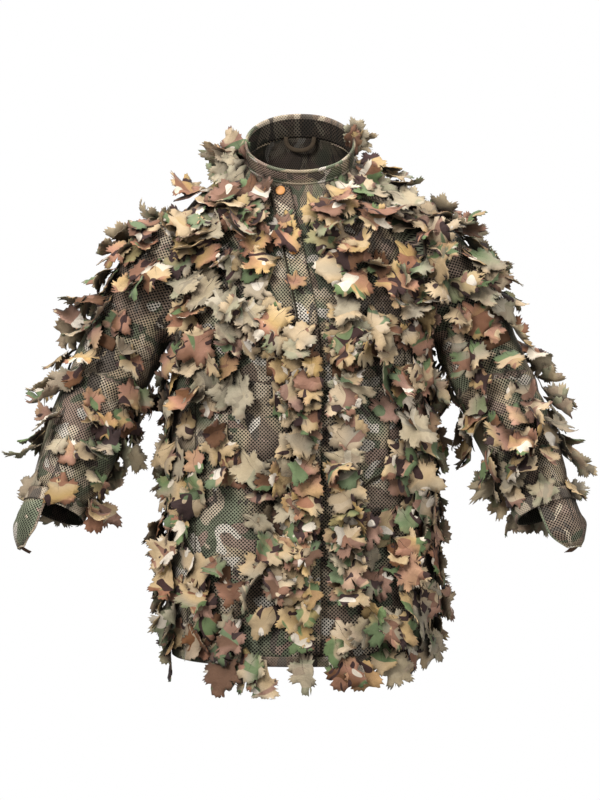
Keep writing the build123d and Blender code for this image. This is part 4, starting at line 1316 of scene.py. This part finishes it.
for s in (1, -1):
    seam_line(f"panel_seam_{'left' if s > 0 else 'right'}", [(165 * s, z) for z in np.linspace(-100, -755, 12)], 1.6, 0.1, 0.6, M_SEAM, n=90)

# hem and cuffs: doubled bands


def ring_band(name, inner_pts, out_dirs, w_dir, width, thick, mat, body, wavy=0.4):
    rows = []
    m = len(inner_pts)
    prof = [(0.0, 0.0), (0.0, thick * 0.7), (0.12, thick), (0.5, thick * 0.9), (0.88, thick), (1.0, thick * 0.7), (1.0, 0.0)]
    for f, t in prof:
        nz = hash_noise(np.stack([np.arange(m) * 0.31, np.full(m, f * 2), np.zeros(m)], 1), 31)[:, None] * wavy
        rows.append(inner_pts + w_dir * (f * width) + out_dirs * (t + nz * (0.3 + f)))
    o = grid_object(name, rows, closed_u=True)
    p = coords(o.data) / MM
    seg = np.concatenate([[0], np.cumsum(np.linalg.norm(np.diff(inner_pts, axis=0), axis=1))])
    U = np.tile(seg, len(prof))
    Vv = np.repeat([f * width for f, _ in prof], m)
    write_uv(o.data, p, U, Vv, np.full(len(p), seg[-1] + 4))
    o.data.materials.append(mat)
    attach(o, body)
    return o


hp = section_points(catmull(ROWS, [0.35])[0], 160)
hp[:, 2] = HEM_Z + 15
hn = np.stack([hp[:, 0] / 205 ** 2, (hp[:, 1] + 5) / 145 ** 2, np.zeros(len(hp))], 1)
hn = hn / np.linalg.norm(hn, axis=1)[:, None]
hem = ring_band("hem_band", hp + hn * 0.3, hn, np.array([0, 0, -1.0]), 16, 1.8, M_EDGE, "torso")
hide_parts("hem_binding")
for side, k in SL.items():
    th = 2 * np.pi * np.arange(72) / 72
    dirs = np.outer(np.cos(th), k["y2"]) + np.outer(np.sin(th), k["n2"])
    start = k["W"] - k["d2"] * 20 + dirs * 49.6
    c = ring_band(f"cuff_{side}", start, dirs, k["d2"], 21, 2.2, M_EDGE, f"forearm_{side}_body", wavy=0.6)
    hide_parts("cuff_band_" + side)

# collar: outer stand, dark inside, rolled edge and seam
m = 168
th = 2 * np.pi * np.arange(m) / m
ca, sa = np.cos(th), np.sin(th)


def collar_pts(h, off):
    fl = 2.0 * h / COLLAR_H
    wob = 1.3 * hash_noise(np.stack([ca * 2.2, sa * 2.2, np.full(m, h / 22.0)], 1), 41) * (h / COLLAR_H)
    hh = h * (1 + np.where(sa > 0, 0.24, 0.26) * sa)
    base = C0 + np.outer((NECK_A + off + fl + wob) * ca, [1, 0, 0]) + np.outer((NECK_B + off + fl + wob) * sa, TC) + np.outer(hh, NC)
    return base


def collar_piece(name, layers, mat, node):
    rows = [collar_pts(h, off) for h, off in layers]
    o = grid_object(name, rows, closed_u=True)
    p = coords(o.data) / MM
    U = np.tile(th * 82, len(layers))
    Vv = np.repeat(np.cumsum([0] + [math.hypot(layers[i + 1][0] - layers[i][0], layers[i + 1][1] - layers[i][1]) for i in range(len(layers) - 1)]), m)
    write_uv(o.data, p, U, Vv, np.full(len(p), 2 * np.pi * 82))
    o.data.materials.append(mat)
    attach(o, "torso")
    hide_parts(node)
    return o


hs = np.linspace(-2.5, COLLAR_H - 1, 9)
collar_piece("collar_outer", [(h, 0.2 + 0.5 * math.sin(h / COLLAR_H * 3.1)) for h in hs] + [(COLLAR_H - 1, -1.2)] + [(h, -1.4) for h in hs[::-1]], M_MESH, "collar_stand")
collar_piece("collar_inner", [(1.5, -1.6), (1.5, -2.8)] + [(h, -2.9) for h in np.linspace(4, COLLAR_H - 4, 6)] + [(COLLAR_H - 3, -2.2), (COLLAR_H - 3, -1.5)], M_LINING, "collar_lining")
collar_piece("collar_edge", [(COLLAR_H - 5, 0.6), (COLLAR_H - 4.5, 1.5), (COLLAR_H - 1, 1.6), (COLLAR_H + 1.2, 0.8), (COLLAR_H + 1.9, -0.8), (COLLAR_H + 1.2, -2.4), (COLLAR_H - 1, -3.3), (COLLAR_H - 4.5, -3.2)], M_EDGE, "collar_edge_binding")
collar_piece("collar_seam", [(-1.5, 0.5), (-1.0, 1.5), (1.0, 1.9), (3.2, 1.5), (4.0, 0.6)], M_EDGE, "neck_seam_tape")

# hang loop: a flat strap with both ends sewn under the collar
lc = np.array([0.0, 47.672, 72.552])
tt = np.linspace(0, 1, 40)
ang = np.pi * tt
path = np.stack([-23 * np.cos(ang), np.zeros(40) + 1.2 * np.sin(ang * 2), -22 * np.sin(ang) ** 0.7], 1) + lc
tan_ = np.gradient(path, axis=0)
tan_ /= np.linalg.norm(tan_, axis=1)[:, None]
nn = np.tile([0, -1.0, 0.0], (40, 1))
sd_ = np.cross(nn, tan_)
lp = strip_object("collar_hang_loop", path - sd_ * 3.6, path + sd_ * 3.6, nn, 1.1, M_LOOP, "hang_loop_body", across=5, crown=0.3)
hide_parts("hang_loop")

# hand covers
for side, k in SL.items():
    s = k["s"]
    ang = math.radians(40.0 if s > 0 else 8.0)
    out = unit(k["n2"] * math.cos(ang) - k["y2"] * math.sin(ang))
    tg = np.cross(k["d2"], out)
    base = k["W"] + k["d2"] * 0.8
    hs_ = np.linspace(0, 74, 26)
    rows = []
    for h in hs_:
        f = h / 74
        half = math.radians(62 * math.sqrt(max(0.30, 1 - (max(0, f - 0.62) / 0.45) ** 2)))
        rr = 49.2 * math.sqrt(1 - 0.62 * (max(0, f - 0.45) / 0.55) ** 2) + 1.5 * math.sin(f * 2.6)
        a = np.linspace(-half, half, 34)
        sag = 5.0 * (a / math.radians(62)) ** 2 * f
        pts = base + np.outer(h - sag, k["d2"]) + np.outer(rr * np.cos(a), out) + np.outer(rr * np.sin(a), tg)
        nz = hash_noise(np.stack([a * 3, np.full(34, h / 20.0), np.full(34, float(s))], 1), 77)
        pts = pts + (np.outer(np.cos(a), out) + np.outer(np.sin(a), tg)) * (nz * 2.2 * min(1, f * 3))[:, None]
        rows.append(pts)
    rows = np.array(rows)
    o = grid_object(f"hand_flap_{side}", rows, closed_u=False)
    p = coords(o.data) / MM
    U = np.tile(np.linspace(-53, 53, 34), len(hs_))
    Vv = np.repeat(hs_, 34)
    write_uv(o.data, p, U + 70 * s, Vv)
    o.data.materials.append(M_MESH)
    sd = o.modifiers.new("cloth", "SOLIDIFY")
    sd.thickness = 0.0015
    sd.offset = 0
    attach(o, f"hand_cover_{side}_body")
    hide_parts(f"hand_cover_{side}")
    # bound edge
    rim = np.concatenate([rows[:, 0], rows[-1, 1:], rows[-2::-1, -1]])
    rim = smooth_rows(rim, 1)
    nrm_ = rim - (base + np.outer((rim - base) @ k["d2"], k["d2"]))
    nrm_ /= np.linalg.norm(nrm_, axis=1)[:, None]
    tn = np.gradient(rim, axis=0)
    tn /= np.linalg.norm(tn, axis=1)[:, None]
    sdv = np.cross(nrm_, tn)
    strip_object(f"hand_flap_edge_{side}", rim - sdv * 2.2 - nrm_ * 1.1, rim + sdv * 2.2 - nrm_ * 1.1, nrm_, 2.0, M_EDGE, f"hand_cover_{side}_body", crown=0.3)
    # finger tab
    tip = base + k["d2"] * 71 + out * 33.0
    q = np.linspace(0, 1, 16)
    mid = tip + np.outer(q * 9 * (1 - 0.5 * q), k["d2"]) - np.outer(q * 23, out)
    tb = strip_object(f"finger_loop_{side}", mid - tg * 10.5, mid + tg * 10.5, np.tile(out, (16, 1)), 1.3, M_BROWN, f"hand_cover_{side}_body", crown=0.4)
    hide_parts(f"finger_tab_{side}")

# brown tape across each sleeve above the elbow
for side, k in SL.items():
    along0 = k["L1"] - 74
    c = k["C1"] + k["d1"] * along0
    rows_l, rows_r, ns = [], [], []
    for a in np.radians(np.linspace(-84, -40, 18)):
        dr = k["n1"] * math.cos(a) + k["y1"] * math.sin(a)
        for lst, off in ((rows_l, -10), (rows_r, 10)):
            o_ = c + k["d1"] * off
            h = cast(o_ + dr * 160, -dr)
            lst.append((h[0] if h is not None else o_ + dr * 66) + dr * 1.0)
        ns.append(dr)
    tp = strip_object(f"sleeve_tape_cloth_{side}", smooth_rows(rows_l), smooth_rows(rows_r), np.array(ns), 1.4, M_BROWN, None, crown=0.3)
    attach(tp, f"upper_sleeve_{side}_body")
    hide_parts(f"sleeve_tape_{side}")

# snaps keep their CAD shape
for n, mat in (("snap_caps_upper", M_CAP), ("snap_caps_lower", M_CAP), ("snap_sockets_upper", M_METAL), ("snap_sockets_lower", M_METAL), ("snap_studs", M_METAL)):
    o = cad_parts[n]
    o.data.materials.clear()
    o.data.materials.append(mat)

# ------------------------------------------------------------------ stage, light and camera
me = bpy.data.meshes.new("studio_floor")
me.from_pydata([(-9, -9, -1.05), (9, -9, -1.05), (9, 9, -1.05), (-9, 9, -1.05)], [], [(0, 1, 2, 3)])
bd = bpy.data.objects.new("studio_floor", me)
bpy.context.scene.collection.objects.link(bd)
mat = bpy.data.materials.new("studio_white")
mat.use_nodes = True
b = Nodes(mat.node_tree)
mat.node_tree.nodes.clear()
out = b.new("ShaderNodeOutputMaterial")
em = b.new("ShaderNodeEmission")
em.inputs["Color"].default_value = (1, 1, 1, 1)
lp_ = b.new("ShaderNodeLightPath")
b.link(b.math("ADD", b.math("MULTIPLY", lp_.outputs["Is Camera Ray"], 0.75), 0.25), em.inputs["Strength"])
b.link(em.outputs[0], out.inputs[0])
me.materials.append(mat)

world = bpy.data.worlds.new("studio")
bpy.context.scene.world = world
world.use_nodes = True
b = Nodes(world.node_tree)
bg = world.node_tree.nodes["Background"]
bg.inputs["Color"].default_value = (1, 1, 1, 1)
lp_ = b.new("ShaderNodeLightPath")
b.link(b.math("ADD", b.math("MULTIPLY", lp_.outputs["Is Camera Ray"], 0.66), 0.34), bg.inputs["Strength"])


def area(name, loc, target, size, power):
    l = bpy.data.lights.new(name, "AREA")
    l.shape = "RECTANGLE"
    l.size, l.size_y = size
    l.energy = power
    o = bpy.data.objects.new(name, l)
    o.location = loc
    o.rotation_euler = (Vector(target) - Vector(loc)).to_track_quat("-Z", "Y").to_euler()
    bpy.context.scene.collection.objects.link(o)
    return o


area("key", (-1.3, -2.4, 1.2), (0, 0, -0.35), (0.9, 0.9), 77)
area("fill", (1.8, -2.2, 0.3), (0, 0, -0.4), (1.2, 1.6), 19)
area("top", (0, -0.4, 2.0), (0, 0, -0.3), (1.4, 1.0), 38)
area("rear", (0.9, 2.6, 0.9), (0, 0, -0.35), (1.4, 1.4), 34)

cam_d = bpy.data.cameras.new("camera")
cam = bpy.data.objects.new("camera", cam_d)
bpy.context.scene.collection.objects.link(cam)
D, el = 3.1, math.radians(2.5)
target = Vector((0, -0.05, -0.355))
cam.location = target + Vector((0, -math.cos(el), math.sin(el))) * D
cam.rotation_euler = (target - cam.location).to_track_quat("-Z", "Y").to_euler()
cam_d.sensor_fit = "VERTICAL"
cam_d.sensor_height = 24.0
cam_d.lens = 12.0 / math.tan(math.atan(0.64 / D))
cam_d.clip_end = 50
bpy.context.scene.camera = cam
bpy.context.scene.view_settings.view_transform = "Standard"
bpy.context.scene.view_settings.look = "None"

bpy.context.view_layer.update()
